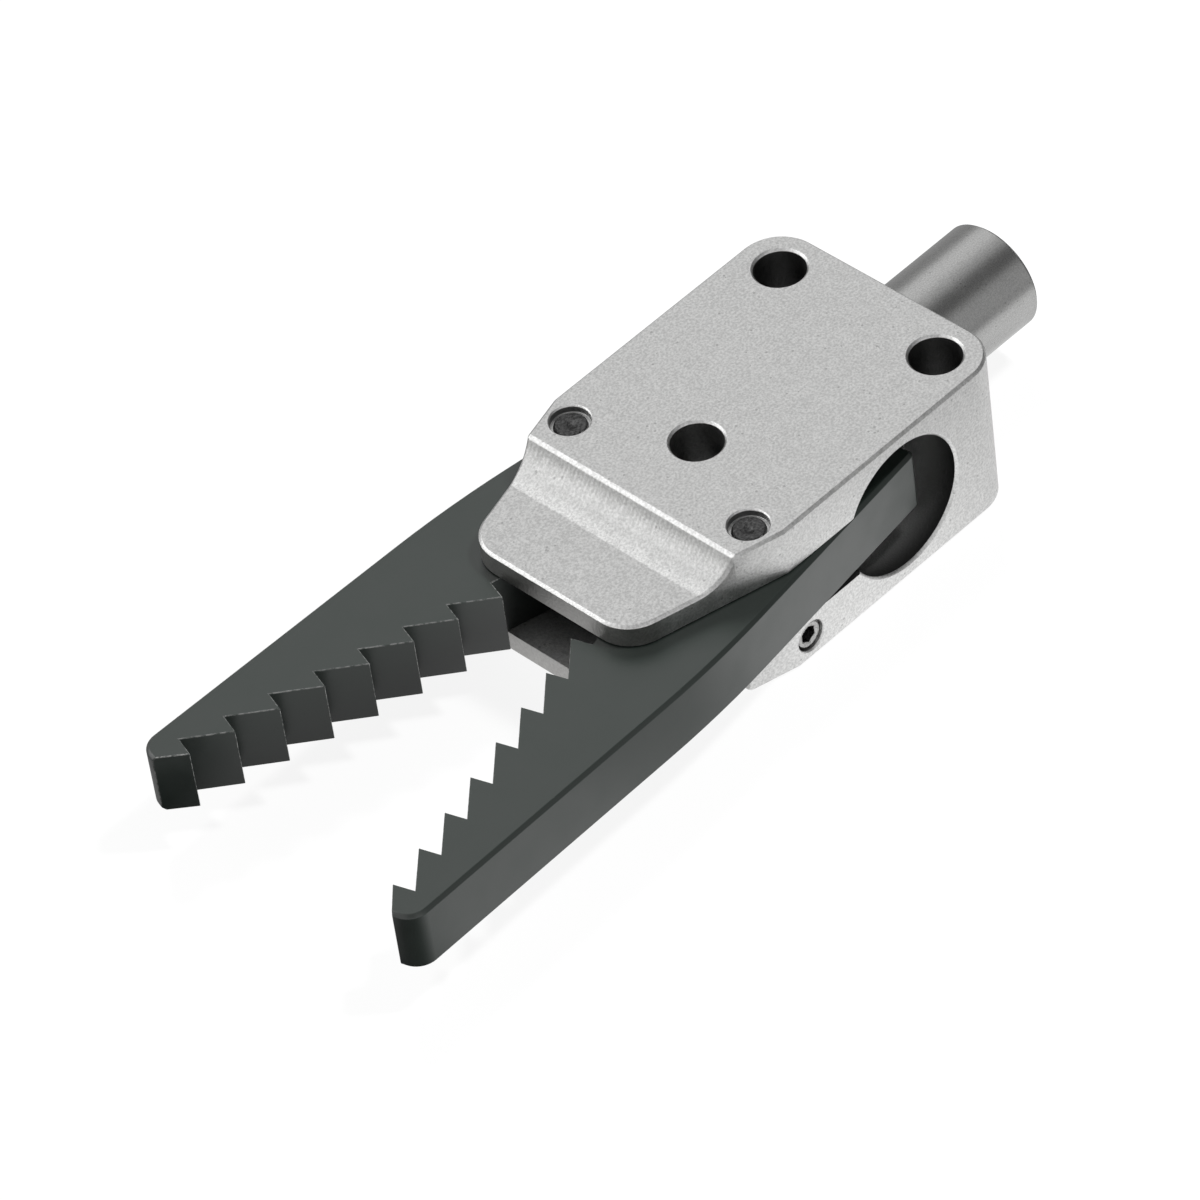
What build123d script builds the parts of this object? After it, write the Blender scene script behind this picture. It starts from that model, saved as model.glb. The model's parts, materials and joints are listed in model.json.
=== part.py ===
from build123d import *
import math
import os

# Pneumatic sprue gripper. X runs from the clamping shank to the jaw tips, Y across the
# two fingers, Z up. The origin is where the shank's axis meets the housing's rear face.
# Everything is drawn in millimetres with the jaws open, the piston back and no air on.

# Housing block
body_width = 35.5
body_height = 21.5
rear_corner_radius = 5.3
side_length = 37.1
taper_angle = 15.0
step_x = 43.35
nose_x = 57.5
nose_half_height = 7.4
nose_corner_radius = 5.0
cove_radius = 5.5
edge_break = 0.35
slot_height = 8.7
window_x = 18.3
window_radius = 8.85
window_chamfer = 0.3

# Screw holes that fix the housing to a robot arm
mount_hole_radius = 3.13
mount_hole_chamfer = 0.3
rear_hole_x = 5.44
rear_hole_y = 12.02
front_hole_x = 32.26

# Finger pivots
pivot_x = 38.62
pivot_y = 13.8
pin_radius = 2.0
pin_end_chamfer = 0.2
pin_recess = 0.6
pin_dimple_radius = 0.9
pin_dimple_depth = 0.35
counterbore_radius = 2.42
counterbore_depth = 1.0
counterbore_chamfer = 0.17
bush_wall = 0.97
running_clearance = 0.03

# Screws that hold the pivot pins, each lying in a neck of its pin
set_screw_radius = 2.0
set_screw_length = 6.0
set_screw_back = 3.82
set_screw_rise = 3.2
set_screw_recess = 0.4
set_screw_point_chamfer = 0.4
set_screw_socket_flats = 2.0
set_screw_socket_depth = 2.2
set_screw_hole_chamfer = 0.2
pin_neck_clearance = 0.07
pin_neck_margin = 0.2

# Fingers, each drawn closed in a frame at its pivot and then turned open
finger_thickness = 8.4
opening_angle = 15.15
closed_gap = 0.15
tooth_count = 8
tooth_pitch = 5.75
tooth_depth = 2.75
tooth_lean = 0.1
first_tooth_x = 58.1
tip_bevel_angle = 28.0
finger_tip_x = 61.9
tip_corner_radius = 2.7
outer_front_reach = 6.98
outer_front_slope = 0.255
outer_rear_reach = 5.2
outer_rear_slope = 0.136
outer_bend_radius = 150.0
tail_end_x = -23.4
tail_corner_radius = 0.8
waist_x = -2.5
waist_run = 2.5
screw_relief_length = 8.0
screw_relief_clearance = 0.33
finger_edge_break = 0.42

# Cam pins in the finger tails, placed from the pivot with the jaws open
cam_pin_back = 19.62
cam_pin_in = 7.3
cam_pin_radius = 2.0
cam_pin_exposure = 0.55
cam_pin_wall = 0.65
cam_pin_end_gap = 0.1
cam_pin_chamfer = 0.2

# Spreader wedge that the piston pushes between the cam pins
wedge_angle = 45.0
wedge_thickness = 8.0
wedge_lead = 1.2
wedge_front_chamfer = 0.3
cam_clearance = 0.04
wedge_screw_radius = 1.25
wedge_screw_play = 0.1
wedge_screw_head_radius = 2.25
wedge_screw_head_height = 2.4
wedge_screw_socket_flats = 2.0
wedge_screw_socket_depth = 1.2
wedge_screw_recess = 0.1
wedge_screw_grip = 5.5

# Shank, which is also the air cylinder
shank_radius = 7.0
shank_reach = 17.05
shank_end_chamfer = 0.4
spigot_radius = 6.0
spigot_length = 8.4
cylinder_radius = 5.0
cylinder_floor = 5.55
port_radius = 2.1
port_chamfer = 0.5

# Piston and rod
bumper_thickness = 1.0
bumper_bore_radius = 2.6
piston_length = 5.0
piston_clearance = 0.05
piston_ring_clearance = 0.03
seal_width = 1.4
seal_depth = 0.9
seal_from_front = 3.0
wear_ring_width = 1.2
wear_ring_depth = 0.6
wear_ring_from_front = 0.7
rod_radius = 2.5
rod_rear_spigot_radius = 1.75
rod_front_spigot_radius = 1.9
rod_front_spigot_length = 2.6
rod_screw_depth_spare = 0.5

# Rod guide with its ring
guide_length = 2.8
guide_ring_thickness = 0.8
guide_ring_depth = 0.4
guide_ring_width = 1.4
guide_front_land = 1.2

# Springs
return_wire = 0.7
return_spring_radius = 3.7
return_turns = 4.5
opening_wire = 0.6
opening_spring_radius = 1.8
opening_turns = 10.0
spring_slot_x = 6.5
spring_slot_depth = 4.5
spring_side_clearance = 0.15
spring_seat_gap = 0.05

# How closely an edge has to match when it is picked by its place or by its radius
place_tolerance = 0.01
radius_tolerance = 0.001

half_width = body_width / 2
half_height = body_height / 2
half_slot = slot_height / 2
half_finger = finger_thickness / 2
taper_slope = math.tan(math.radians(taper_angle))
opening = math.radians(opening_angle)
set_screw_x = pivot_x - set_screw_back
set_screw_z = set_screw_rise - half_height


def turned(point, angle):
    """The point turned about the origin by an angle in radians."""
    x, y = point
    return (
        x * math.cos(angle) - y * math.sin(angle),
        x * math.sin(angle) + y * math.cos(angle),
    )


def moved(point, way, distance):
    """The point moved along a direction by a distance."""
    return (point[0] + way[0] * distance, point[1] + way[1] * distance)


def crossing(point_a, way_a, point_b, way_b):
    """Where the line through point_a along way_a meets the line through point_b along way_b."""
    apart_x = point_b[0] - point_a[0]
    apart_y = point_b[1] - point_a[1]
    spread = way_a[0] * way_b[1] - way_a[1] * way_b[0]
    return moved(point_a, way_a, (apart_x * way_b[1] - apart_y * way_b[0]) / spread)


# The cam: while a finger closes at an even rate, the wedge advances at an even rate too, so
# its flank is the curve that the cam pin touches in the wedge's own frame
open_arm = (-cam_pin_back, -cam_pin_in)
closed_arm = turned(open_arm, -opening)
cam_drop = closed_arm[1] - open_arm[1]
stroke = closed_arm[0] - open_arm[0] + cam_drop / math.tan(math.radians(wedge_angle))


def cam_normal(turn):
    """Unit direction from the cam pin to the wedge's flank, the finger closed by turn radians."""
    x, y = turned(open_arm, -turn)
    along = (y - stroke / opening, -x)
    length = math.hypot(*along)
    return (-along[1] / length, along[0] / length)


def flank_point(turn):
    """Point of the wedge's flank that the cam pin touches, the finger closed by turn radians."""
    x, y = turned(open_arm, -turn)
    pin_centre = (pivot_x + x - stroke * turn / opening, pivot_y + y)
    return moved(pin_centre, cam_normal(turn), cam_pin_radius + cam_clearance)


# Housing: one milled block, a fork with two plates ahead of a round cross bore
cove_rise = half_height - nose_half_height
cove_sweep = math.acos(1 - cove_rise / cove_radius)
cove_end_x = step_x + cove_radius * math.sin(cove_sweep)
cove_mid_x = cove_end_x - cove_radius * math.sin(cove_sweep / 2)
cove_mid_z = nose_half_height + cove_radius * (1 - math.cos(cove_sweep / 2))
nose_half_width = half_width - (nose_x - side_length) * taper_slope
side_wall = Plane.XZ.offset(-half_width)


def at_level(level):
    """Picks the edges that lie at one height above or below the middle."""
    return lambda edge: abs(abs(edge.center().Z) - level) < place_tolerance


def round_edge(radius):
    """Picks the circular edges of one radius."""
    return lambda edge: edge.geom_type == GeomType.CIRCLE and abs(edge.radius - radius) < radius_tolerance


def on_side_wall(edge):
    """Whether an edge lies in one of the housing's two side walls."""
    return abs(abs(edge.center().Y) - half_width) < place_tolerance


with BuildPart() as housing:
    with BuildSketch(Plane.XY.offset(-half_height)) as plan:
        with BuildLine():
            Polyline(
                (0, -half_width),
                (side_length, -half_width),
                (nose_x, -nose_half_width),
                (nose_x, nose_half_width),
                (side_length, half_width),
                (0, half_width),
                close=True,
            )
        make_face()
        fillet(plan.vertices().group_by(Axis.X)[0], rear_corner_radius)
        fillet(plan.vertices().group_by(Axis.X)[-1], nose_corner_radius)
    extrude(amount=body_height)
    with BuildSketch(side_wall):
        with BuildLine():
            Line((0, half_height), (step_x, half_height))
            ThreePointArc(
                (step_x, half_height),
                (cove_mid_x, cove_mid_z),
                (cove_end_x, nose_half_height),
            )
            Polyline(
                (cove_end_x, nose_half_height),
                (nose_x, nose_half_height),
                (nose_x, 0),
                (0, 0),
                (0, half_height),
            )
        make_face()
        mirror(about=Plane.XZ)
    extrude(amount=body_width, mode=Mode.INTERSECT)
    chamfer(housing.edges().filter_by(at_level(half_height)), edge_break)
    nose_edges = housing.edges().filter_by(at_level(nose_half_height))
    chamfer(nose_edges.filter_by(lambda edge: edge.center().X > cove_end_x + edge_break), edge_break)
    # Slot for the fingers, open at the front and at both sides
    with BuildSketch(Plane.XY.offset(-half_slot)):
        with Locations((window_x, 0)):
            Rectangle(nose_x, body_width, align=(Align.MIN, Align.CENTER))
    extrude(amount=slot_height, mode=Mode.SUBTRACT)
    # Round cross bore, in which the finger tails swing
    with BuildSketch(side_wall):
        with Locations((window_x, 0)):
            Circle(window_radius)
    extrude(amount=body_width, mode=Mode.SUBTRACT)
    window_edges = housing.edges().filter_by(round_edge(window_radius))
    chamfer(window_edges.filter_by(on_side_wall), window_chamfer)
    # Seat of the shank
    with BuildSketch(Plane.YZ):
        Circle(spigot_radius)
    extrude(amount=window_x, mode=Mode.SUBTRACT)
    # Screw holes and pivot bores
    with Locations(Plane.XY.offset(half_height)):
        with Locations((rear_hole_x, rear_hole_y), (rear_hole_x, -rear_hole_y), (front_hole_x, 0)):
            Hole(mount_hole_radius)
        with Locations((pivot_x, pivot_y), (pivot_x, -pivot_y)):
            CounterBoreHole(pin_radius, counterbore_radius, counterbore_depth)
    outer_edges = housing.edges().filter_by(at_level(half_height))
    chamfer(outer_edges.filter_by(round_edge(mount_hole_radius)), mount_hole_chamfer)
    outer_edges = housing.edges().filter_by(at_level(half_height))
    chamfer(outer_edges.filter_by(round_edge(counterbore_radius)), counterbore_chamfer)
    # Threaded holes of the set screws, from each side into the lower plate
    for side in (1, -1):
        hole_mouth = Plane(
            origin=(set_screw_x, side * half_width, set_screw_z),
            x_dir=(1, 0, 0),
            z_dir=(0, -side, 0),
        )
        with BuildSketch(hole_mouth):
            Circle(set_screw_radius)
        extrude(amount=set_screw_recess + set_screw_length, mode=Mode.SUBTRACT)
    screw_edges = housing.edges().filter_by(round_edge(set_screw_radius))
    chamfer(screw_edges.filter_by(on_side_wall), set_screw_hole_chamfer)

# Fingers: flat plates with saw teeth on their inner edges
tooth_line = closed_gap - pivot_y
root_line = tooth_line + tooth_depth
tip_bevel_slope = math.tan(math.radians(tip_bevel_angle))
tip_bevel_y = tooth_line + (finger_tip_x - first_tooth_x) * tip_bevel_slope
bend_x = (outer_front_reach - outer_rear_reach) / (outer_front_slope - outer_rear_slope)
finger_bore_radius = pin_radius + running_clearance + bush_wall


def outer_front(x):
    """How far out the finger's outer edge lies ahead of its bend."""
    return outer_front_reach - outer_front_slope * x


def outer_rear(x):
    """How far out the finger's outer edge lies behind its bend."""
    return outer_rear_reach - outer_rear_slope * x


# The tail ends square to its outer edge. Its inner corner is cut back along the wedge's
# flank, so that the cam pin stands proud, and its inner edge leaves room for the front screw
mean_normal = turned(cam_normal(opening / 2), -opening / 2)
cut_way = turned(mean_normal, math.pi / 2)
cut_foot = moved(closed_arm, mean_normal, cam_pin_radius - cam_pin_exposure)
cut_reach = math.sqrt((cam_pin_radius + cam_pin_wall) ** 2 - (cam_pin_radius - cam_pin_exposure) ** 2)
cut_inner = moved(cut_foot, cut_way, cut_reach)
tail_top = (tail_end_x, outer_rear(tail_end_x))
tail_low = crossing(tail_top, (outer_rear_slope, 1), cut_foot, cut_way)
front_screw = turned((front_hole_x - pivot_x, -pivot_y), -opening)
relief_line = front_screw[1] + mount_hole_radius + screw_relief_clearance

finger_frame = Plane(
    origin=(pivot_x, pivot_y, 0),
    x_dir=(math.cos(opening), math.sin(opening), 0),
    z_dir=(0, 0, 1),
)
finger_floor = finger_frame.offset(-half_finger)

# The opening spring keeps its place while the fingers swing past it, so it sits in a slot
spring_outer_radius = opening_spring_radius + opening_wire / 2
spring_sweep = -root_line * math.sin(opening)
spring_x = pivot_x + spring_slot_x + spring_sweep / 2
slot_way = turned((0, 1), -opening / 2)
slot_mouth = finger_frame.from_local_coords((spring_slot_x, root_line, 0))
seat_point = moved((spring_slot_x, root_line), slot_way, spring_slot_depth)
slot_seat = finger_frame.from_local_coords((*seat_point, 0))
slot_frame = Plane(
    origin=slot_mouth,
    x_dir=(math.cos(opening / 2), math.sin(opening / 2), 0),
    z_dir=(-math.sin(opening / 2), math.cos(opening / 2), 0),
)

with BuildPart() as finger_right:
    with BuildSketch(finger_floor) as outline:
        with BuildLine():
            toothed_edge = [(finger_tip_x, tip_bevel_y)]
            for tooth in range(tooth_count):
                tooth_x = first_tooth_x - tooth * tooth_pitch
                toothed_edge.append((tooth_x, tooth_line))
                toothed_edge.append((tooth_x - tooth_lean, root_line))
            Polyline(
                *toothed_edge,
                (waist_x, root_line),
                (waist_x - waist_run, relief_line),
                (waist_x - waist_run - screw_relief_length, relief_line),
                cut_inner,
                tail_low,
                tail_top,
                (bend_x, outer_rear(bend_x)),
                (finger_tip_x, outer_front(finger_tip_x)),
                close=True,
            )
        make_face()
        bend = outline.vertices().sort_by_distance((bend_x, outer_rear(bend_x)))[0]
        fillet(bend, outer_bend_radius)
        tip_corner = outline.vertices().sort_by_distance((finger_tip_x, outer_front(finger_tip_x)))[0]
        fillet(tip_corner, tip_corner_radius)
        tail_corner = outline.vertices().sort_by_distance(tail_top)[0]
        fillet(tail_corner, tail_corner_radius)
    extrude(amount=finger_thickness)
    # Bores of the bush and of the cam pin
    with BuildSketch(finger_floor):
        Circle(finger_bore_radius)
        with Locations(closed_arm):
            Circle(cam_pin_radius)
    extrude(amount=finger_thickness, mode=Mode.SUBTRACT)
    # Slot for one end of the opening spring
    with BuildSketch(slot_frame):
        SlotOverall(
            spring_sweep + 2 * (spring_outer_radius + spring_side_clearance),
            2 * (spring_outer_radius + spring_side_clearance),
        )
    extrude(amount=spring_slot_depth, both=True, mode=Mode.SUBTRACT)
    rim = finger_right.edges().filter_by(at_level(half_finger))
    outer_rim = rim.filter_by(lambda edge: finger_frame.to_local_coords(edge.center()).Y > half_finger)
    chamfer(outer_rim, finger_edge_break)

# What turns with the finger: its bush and its cam pin
with BuildPart() as pivot_bush_right:
    with BuildSketch(finger_floor):
        Circle(finger_bore_radius)
        Circle(pin_radius + running_clearance, mode=Mode.SUBTRACT)
    extrude(amount=finger_thickness)

cam_pin_reach = half_finger - cam_pin_end_gap
with BuildPart() as cam_pin_right:
    with BuildSketch(finger_frame.offset(-cam_pin_reach)):
        with Locations(closed_arm):
            Circle(cam_pin_radius)
    extrude(amount=2 * cam_pin_reach)
    chamfer(cam_pin_right.edges().filter_by(GeomType.CIRCLE), cam_pin_chamfer)

# Pivot pin through both plates, with a neck for its set screw and a dimple in its end
pin_reach = half_height - pin_recess
neck_radius = set_screw_back - set_screw_radius - pin_neck_clearance
neck_length = 2 * (set_screw_radius + pin_neck_margin)
with BuildPart() as pivot_pin_right:
    with BuildSketch(Plane(origin=(pivot_x, pivot_y, -pin_reach))):
        Circle(pin_radius)
    extrude(amount=2 * pin_reach)
    chamfer(pivot_pin_right.edges().filter_by(GeomType.CIRCLE), pin_end_chamfer)
    with BuildSketch(Plane(origin=(pivot_x, pivot_y, set_screw_z - neck_length / 2))):
        Circle(pin_radius)
        Circle(neck_radius, mode=Mode.SUBTRACT)
    extrude(amount=neck_length, mode=Mode.SUBTRACT)
    with BuildSketch(Plane(origin=(pivot_x, pivot_y, pin_reach - pin_dimple_depth))):
        Circle(pin_dimple_radius)
    extrude(amount=pin_dimple_depth, mode=Mode.SUBTRACT)

# Set screw with a hexagon socket
screw_mouth = Plane(
    origin=(set_screw_x, half_width - set_screw_recess, set_screw_z),
    x_dir=(1, 0, 0),
    z_dir=(0, 1, 0),
)
with BuildPart() as set_screw_right:
    with BuildSketch(screw_mouth):
        Circle(set_screw_radius)
    extrude(amount=-set_screw_length)
    chamfer(set_screw_right.edges().sort_by(Axis.Y)[0], set_screw_point_chamfer)
    with BuildSketch(screw_mouth):
        RegularPolygon(set_screw_socket_flats / 2, 6, major_radius=False)
    extrude(amount=-set_screw_socket_depth, mode=Mode.SUBTRACT)

# Shank, bored out as the air cylinder, with a spigot that fills the housing's seat
cylinder_rear_x = cylinder_floor - shank_reach
guide_rear_x = spigot_length - guide_front_land - guide_ring_thickness - guide_length
guide_ring_x = guide_rear_x + guide_length
with BuildPart() as clamp_shank:
    with BuildSketch(Plane.YZ.offset(-shank_reach)):
        Circle(shank_radius)
    extrude(amount=shank_reach)
    chamfer(clamp_shank.edges().sort_by(Axis.X)[0], shank_end_chamfer)
    with BuildSketch(Plane.YZ):
        Circle(spigot_radius)
    extrude(amount=spigot_length)
    with BuildSketch(Plane.YZ.offset(cylinder_rear_x)):
        Circle(cylinder_radius)
    extrude(amount=spigot_length - cylinder_rear_x, mode=Mode.SUBTRACT)
    with BuildSketch(Plane.YZ.offset(-shank_reach)):
        Circle(port_radius)
    extrude(amount=cylinder_floor, mode=Mode.SUBTRACT)
    port_edges = clamp_shank.edges().filter_by(round_edge(port_radius))
    chamfer(port_edges.sort_by(Axis.X)[0], port_chamfer)
    with BuildSketch(Plane.YZ.offset(guide_ring_x)):
        Circle(cylinder_radius + guide_ring_depth)
    extrude(amount=guide_ring_thickness, mode=Mode.SUBTRACT)

# Rubber ring that the piston comes back against
with BuildPart() as rear_bumper:
    with BuildSketch(Plane.YZ.offset(cylinder_rear_x)):
        Circle(cylinder_radius)
        Circle(bumper_bore_radius, mode=Mode.SUBTRACT)
    extrude(amount=bumper_thickness)

# Piston with a groove for its seal and one for its wear ring
piston_rear_x = cylinder_rear_x + bumper_thickness
piston_front_x = piston_rear_x + piston_length
seal_x = piston_front_x - seal_from_front
wear_ring_x = piston_front_x - wear_ring_from_front - wear_ring_width
piston_radius = cylinder_radius - piston_clearance
piston_ring_radius = cylinder_radius - piston_ring_clearance
with BuildPart() as piston:
    with BuildSketch(Plane.YZ.offset(piston_rear_x)):
        Circle(piston_radius)
        Circle(rod_rear_spigot_radius, mode=Mode.SUBTRACT)
    extrude(amount=piston_length)
    with BuildSketch(Plane.YZ.offset(seal_x - seal_width)):
        Circle(piston_radius)
        Circle(piston_radius - seal_depth, mode=Mode.SUBTRACT)
    extrude(amount=seal_width, mode=Mode.SUBTRACT)
    with BuildSketch(Plane.YZ.offset(wear_ring_x)):
        Circle(piston_radius)
        Circle(piston_radius - wear_ring_depth, mode=Mode.SUBTRACT)
    extrude(amount=wear_ring_width, mode=Mode.SUBTRACT)

with BuildPart() as piston_seal:
    with BuildSketch(Plane.YZ.offset(seal_x - seal_width)):
        Circle(piston_ring_radius)
        Circle(piston_radius - seal_depth, mode=Mode.SUBTRACT)
    extrude(amount=seal_width)

with BuildPart() as piston_wear_ring:
    with BuildSketch(Plane.YZ.offset(wear_ring_x)):
        Circle(piston_ring_radius)
        Circle(piston_radius - wear_ring_depth, mode=Mode.SUBTRACT)
    extrude(amount=wear_ring_width)

# Spreader wedge: a plate whose flanks follow the cam, bored for the rod's spigot and its screw
flank_front = flank_point(0)
flank_middle = flank_point(opening / 2)
flank_rear = flank_point(opening)
lead_way = turned(cam_normal(0), math.pi / 2)
trail_way = turned(cam_normal(opening), math.pi / 2)
wedge_tip = moved(flank_front, lead_way, wedge_lead)
wedge_heel = moved(flank_rear, trail_way, -wedge_lead)
wedge_front_x = wedge_tip[0]
wedge_rear_x = wedge_heel[0]
rod_tip_x = wedge_rear_x + rod_front_spigot_length
head_seat_x = wedge_front_x - wedge_screw_recess - wedge_screw_head_height
with BuildPart() as spreader_wedge:
    with BuildSketch(Plane.XY.offset(-wedge_thickness / 2)):
        with BuildLine():
            Polyline((wedge_front_x, 0), wedge_tip, flank_front)
            ThreePointArc(flank_front, flank_middle, flank_rear)
            Polyline(flank_rear, wedge_heel, (wedge_rear_x, 0), (wedge_front_x, 0))
        make_face()
        mirror(about=Plane.XZ)
    extrude(amount=wedge_thickness)
    with BuildSketch(Plane.YZ.offset(wedge_rear_x)):
        Circle(rod_front_spigot_radius)
    extrude(amount=rod_front_spigot_length, mode=Mode.SUBTRACT)
    with BuildSketch(Plane.YZ.offset(wedge_rear_x)):
        Circle(wedge_screw_radius + wedge_screw_play)
    extrude(amount=wedge_front_x - wedge_rear_x, mode=Mode.SUBTRACT)
    with BuildSketch(Plane.YZ.offset(head_seat_x)):
        Circle(wedge_screw_head_radius + wedge_screw_play)
    extrude(amount=wedge_front_x - head_seat_x, mode=Mode.SUBTRACT)

with BuildPart() as wedge_screw:
    with BuildSketch(Plane.YZ.offset(head_seat_x)):
        Circle(wedge_screw_head_radius)
    extrude(amount=wedge_screw_head_height)
    chamfer(wedge_screw.edges().sort_by(Axis.X)[-1], wedge_front_chamfer)
    with BuildSketch(Plane.YZ.offset(head_seat_x + wedge_screw_head_height)):
        RegularPolygon(wedge_screw_socket_flats / 2, 6, major_radius=False)
    extrude(amount=-wedge_screw_socket_depth, mode=Mode.SUBTRACT)
    with BuildSketch(Plane.YZ.offset(rod_tip_x - wedge_screw_grip)):
        Circle(wedge_screw_radius)
    extrude(amount=head_seat_x - rod_tip_x + wedge_screw_grip)

# Piston rod, from the piston through its guide into the wedge
with BuildPart() as piston_rod:
    with BuildSketch(Plane.YZ.offset(piston_rear_x)):
        Circle(rod_rear_spigot_radius)
    extrude(amount=piston_length)
    with BuildSketch(Plane.YZ.offset(piston_front_x)):
        Circle(rod_radius)
    extrude(amount=wedge_rear_x - piston_front_x)
    with BuildSketch(Plane.YZ.offset(wedge_rear_x)):
        Circle(rod_front_spigot_radius)
    extrude(amount=rod_front_spigot_length)
    with BuildSketch(Plane.YZ.offset(rod_tip_x)):
        Circle(wedge_screw_radius)
    extrude(amount=-(wedge_screw_grip + rod_screw_depth_spare), mode=Mode.SUBTRACT)

# Rod guide, held in the cylinder's mouth by a spring ring in a groove
with BuildPart() as rod_guide:
    with BuildSketch(Plane.YZ.offset(guide_rear_x)):
        Circle(cylinder_radius)
        Circle(rod_radius + running_clearance, mode=Mode.SUBTRACT)
    extrude(amount=guide_length)

with BuildPart() as guide_retaining_ring:
    with BuildSketch(Plane.YZ.offset(guide_ring_x)):
        Circle(cylinder_radius + guide_ring_depth)
        Circle(cylinder_radius + guide_ring_depth - guide_ring_width, mode=Mode.SUBTRACT)
    extrude(amount=guide_ring_thickness)

# Return spring round the rod, between the piston and the rod guide
return_start_x = piston_front_x + spring_seat_gap + return_wire / 2
return_height = guide_rear_x - spring_seat_gap - return_wire / 2 - return_start_x
with BuildPart() as return_spring:
    with BuildLine() as return_coil:
        Helix(
            pitch=return_height / return_turns,
            height=return_height,
            radius=return_spring_radius,
            center=(return_start_x, 0, 0),
            direction=(1, 0, 0),
        )
    with BuildSketch(Plane(origin=return_coil.line @ 0, z_dir=return_coil.line % 0)):
        Circle(return_wire / 2)
    sweep(is_frenet=True)

# Opening spring between the two fingers, its ends on the slanting floors of their slots
slant = math.sin(opening / 2) * (spring_outer_radius + spring_sweep / 2)
opening_reach = slot_seat.Y - slant - spring_seat_gap - opening_wire / 2
with BuildPart() as opening_spring:
    with BuildLine() as opening_coil:
        Helix(
            pitch=2 * opening_reach / opening_turns,
            height=2 * opening_reach,
            radius=opening_spring_radius,
            center=(spring_x, -opening_reach, 0),
            direction=(0, 1, 0),
        )
    with BuildSketch(Plane(origin=opening_coil.line @ 0, z_dir=opening_coil.line % 0)):
        Circle(opening_wire / 2)
    sweep(is_frenet=True)

# Everything on the left is the mirror image of the right
with BuildPart() as finger_left:
    mirror(finger_right.part, about=Plane.XZ)

with BuildPart() as pivot_bush_left:
    mirror(pivot_bush_right.part, about=Plane.XZ)

with BuildPart() as cam_pin_left:
    mirror(cam_pin_right.part, about=Plane.XZ)

with BuildPart() as pivot_pin_left:
    mirror(pivot_pin_right.part, about=Plane.XZ)

with BuildPart() as set_screw_left:
    mirror(set_screw_right.part, about=Plane.XZ)

sub_parts = {
    "housing": housing,
    "clamp_shank": clamp_shank,
    "rear_bumper": rear_bumper,
    "piston": piston,
    "piston_seal": piston_seal,
    "piston_wear_ring": piston_wear_ring,
    "piston_rod": piston_rod,
    "rod_guide": rod_guide,
    "guide_retaining_ring": guide_retaining_ring,
    "return_spring": return_spring,
    "spreader_wedge": spreader_wedge,
    "wedge_screw": wedge_screw,
    "finger_right": finger_right,
    "finger_left": finger_left,
    "pivot_bush_right": pivot_bush_right,
    "pivot_bush_left": pivot_bush_left,
    "cam_pin_right": cam_pin_right,
    "cam_pin_left": cam_pin_left,
    "pivot_pin_right": pivot_pin_right,
    "pivot_pin_left": pivot_pin_left,
    "set_screw_right": set_screw_right,
    "set_screw_left": set_screw_left,
    "opening_spring": opening_spring,
}

os.makedirs("parts", exist_ok=True)
for name, sub_part in sub_parts.items():
    sub_part.part.label = name
    export_step(sub_part.part, f"parts/{name}.step")

print(f"piston stroke {stroke:.4f} mm for {opening_angle} degrees of each finger")
print(f"wedge from x {wedge_rear_x:.3f} to {wedge_front_x:.3f}, rod tip at {rod_tip_x:.3f}")
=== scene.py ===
"""Looks of a pneumatic sprue gripper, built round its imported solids.

Lengths in the classes are millimetres, as on a drawing. Meshes are made in metres.
"""

import json
import logging
import math
from collections.abc import Iterator
from contextlib import contextmanager
from dataclasses import dataclass
from enum import Enum
from typing import Any

import bmesh
import bpy
import numpy as np
from mathutils import Matrix, Vector


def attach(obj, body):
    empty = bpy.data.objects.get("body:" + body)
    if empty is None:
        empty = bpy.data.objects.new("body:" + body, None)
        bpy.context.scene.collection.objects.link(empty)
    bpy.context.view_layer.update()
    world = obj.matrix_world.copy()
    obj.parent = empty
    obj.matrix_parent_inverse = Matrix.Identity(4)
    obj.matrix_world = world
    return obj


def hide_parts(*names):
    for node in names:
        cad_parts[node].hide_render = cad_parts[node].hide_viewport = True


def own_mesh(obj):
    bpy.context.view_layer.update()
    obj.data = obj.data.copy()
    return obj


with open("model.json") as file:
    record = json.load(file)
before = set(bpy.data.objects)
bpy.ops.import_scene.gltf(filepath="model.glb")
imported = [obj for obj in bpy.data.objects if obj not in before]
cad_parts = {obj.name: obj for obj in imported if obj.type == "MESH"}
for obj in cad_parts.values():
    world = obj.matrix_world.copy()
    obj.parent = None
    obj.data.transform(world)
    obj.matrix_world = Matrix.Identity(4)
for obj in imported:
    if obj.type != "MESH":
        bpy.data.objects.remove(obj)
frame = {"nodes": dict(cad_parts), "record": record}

log = logging.getLogger("sprue_gripper")

MM = 0.001
PER_MM = 1000.0
TAU = 2.0 * math.pi
PIVOT = (38.62, 13.8)  # the right finger's pivot, in millimetres
Point = tuple[float, float, float]
Colour = tuple[float, float, float]
Socket = bpy.types.NodeSocket
ORIGIN: Point = (0.0, 0.0, 0.0)
WHITE: Colour = (1.0, 1.0, 1.0)
NOISE_RANGE = (0.3, 0.7)


class Axis(Enum):
    """The direction that a turned or coiled piece is carried along."""

    X = (0, 1, 2)
    Y = (1, 2, 0)
    Z = (2, 0, 1)


class Hand(Enum):
    """The side of the gripper that a piece belongs to, by the sign of its Y."""

    RIGHT = 1
    LEFT = -1

    @property
    def word(self) -> str:
        """The side's name, as the nodes carry it."""
        return self.name.lower()

    def place(self, along: float, across: float) -> Point:
        """A place on this side, level with the middle."""
        return along, self.value * across, 0.0


# Shader graphs


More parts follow.
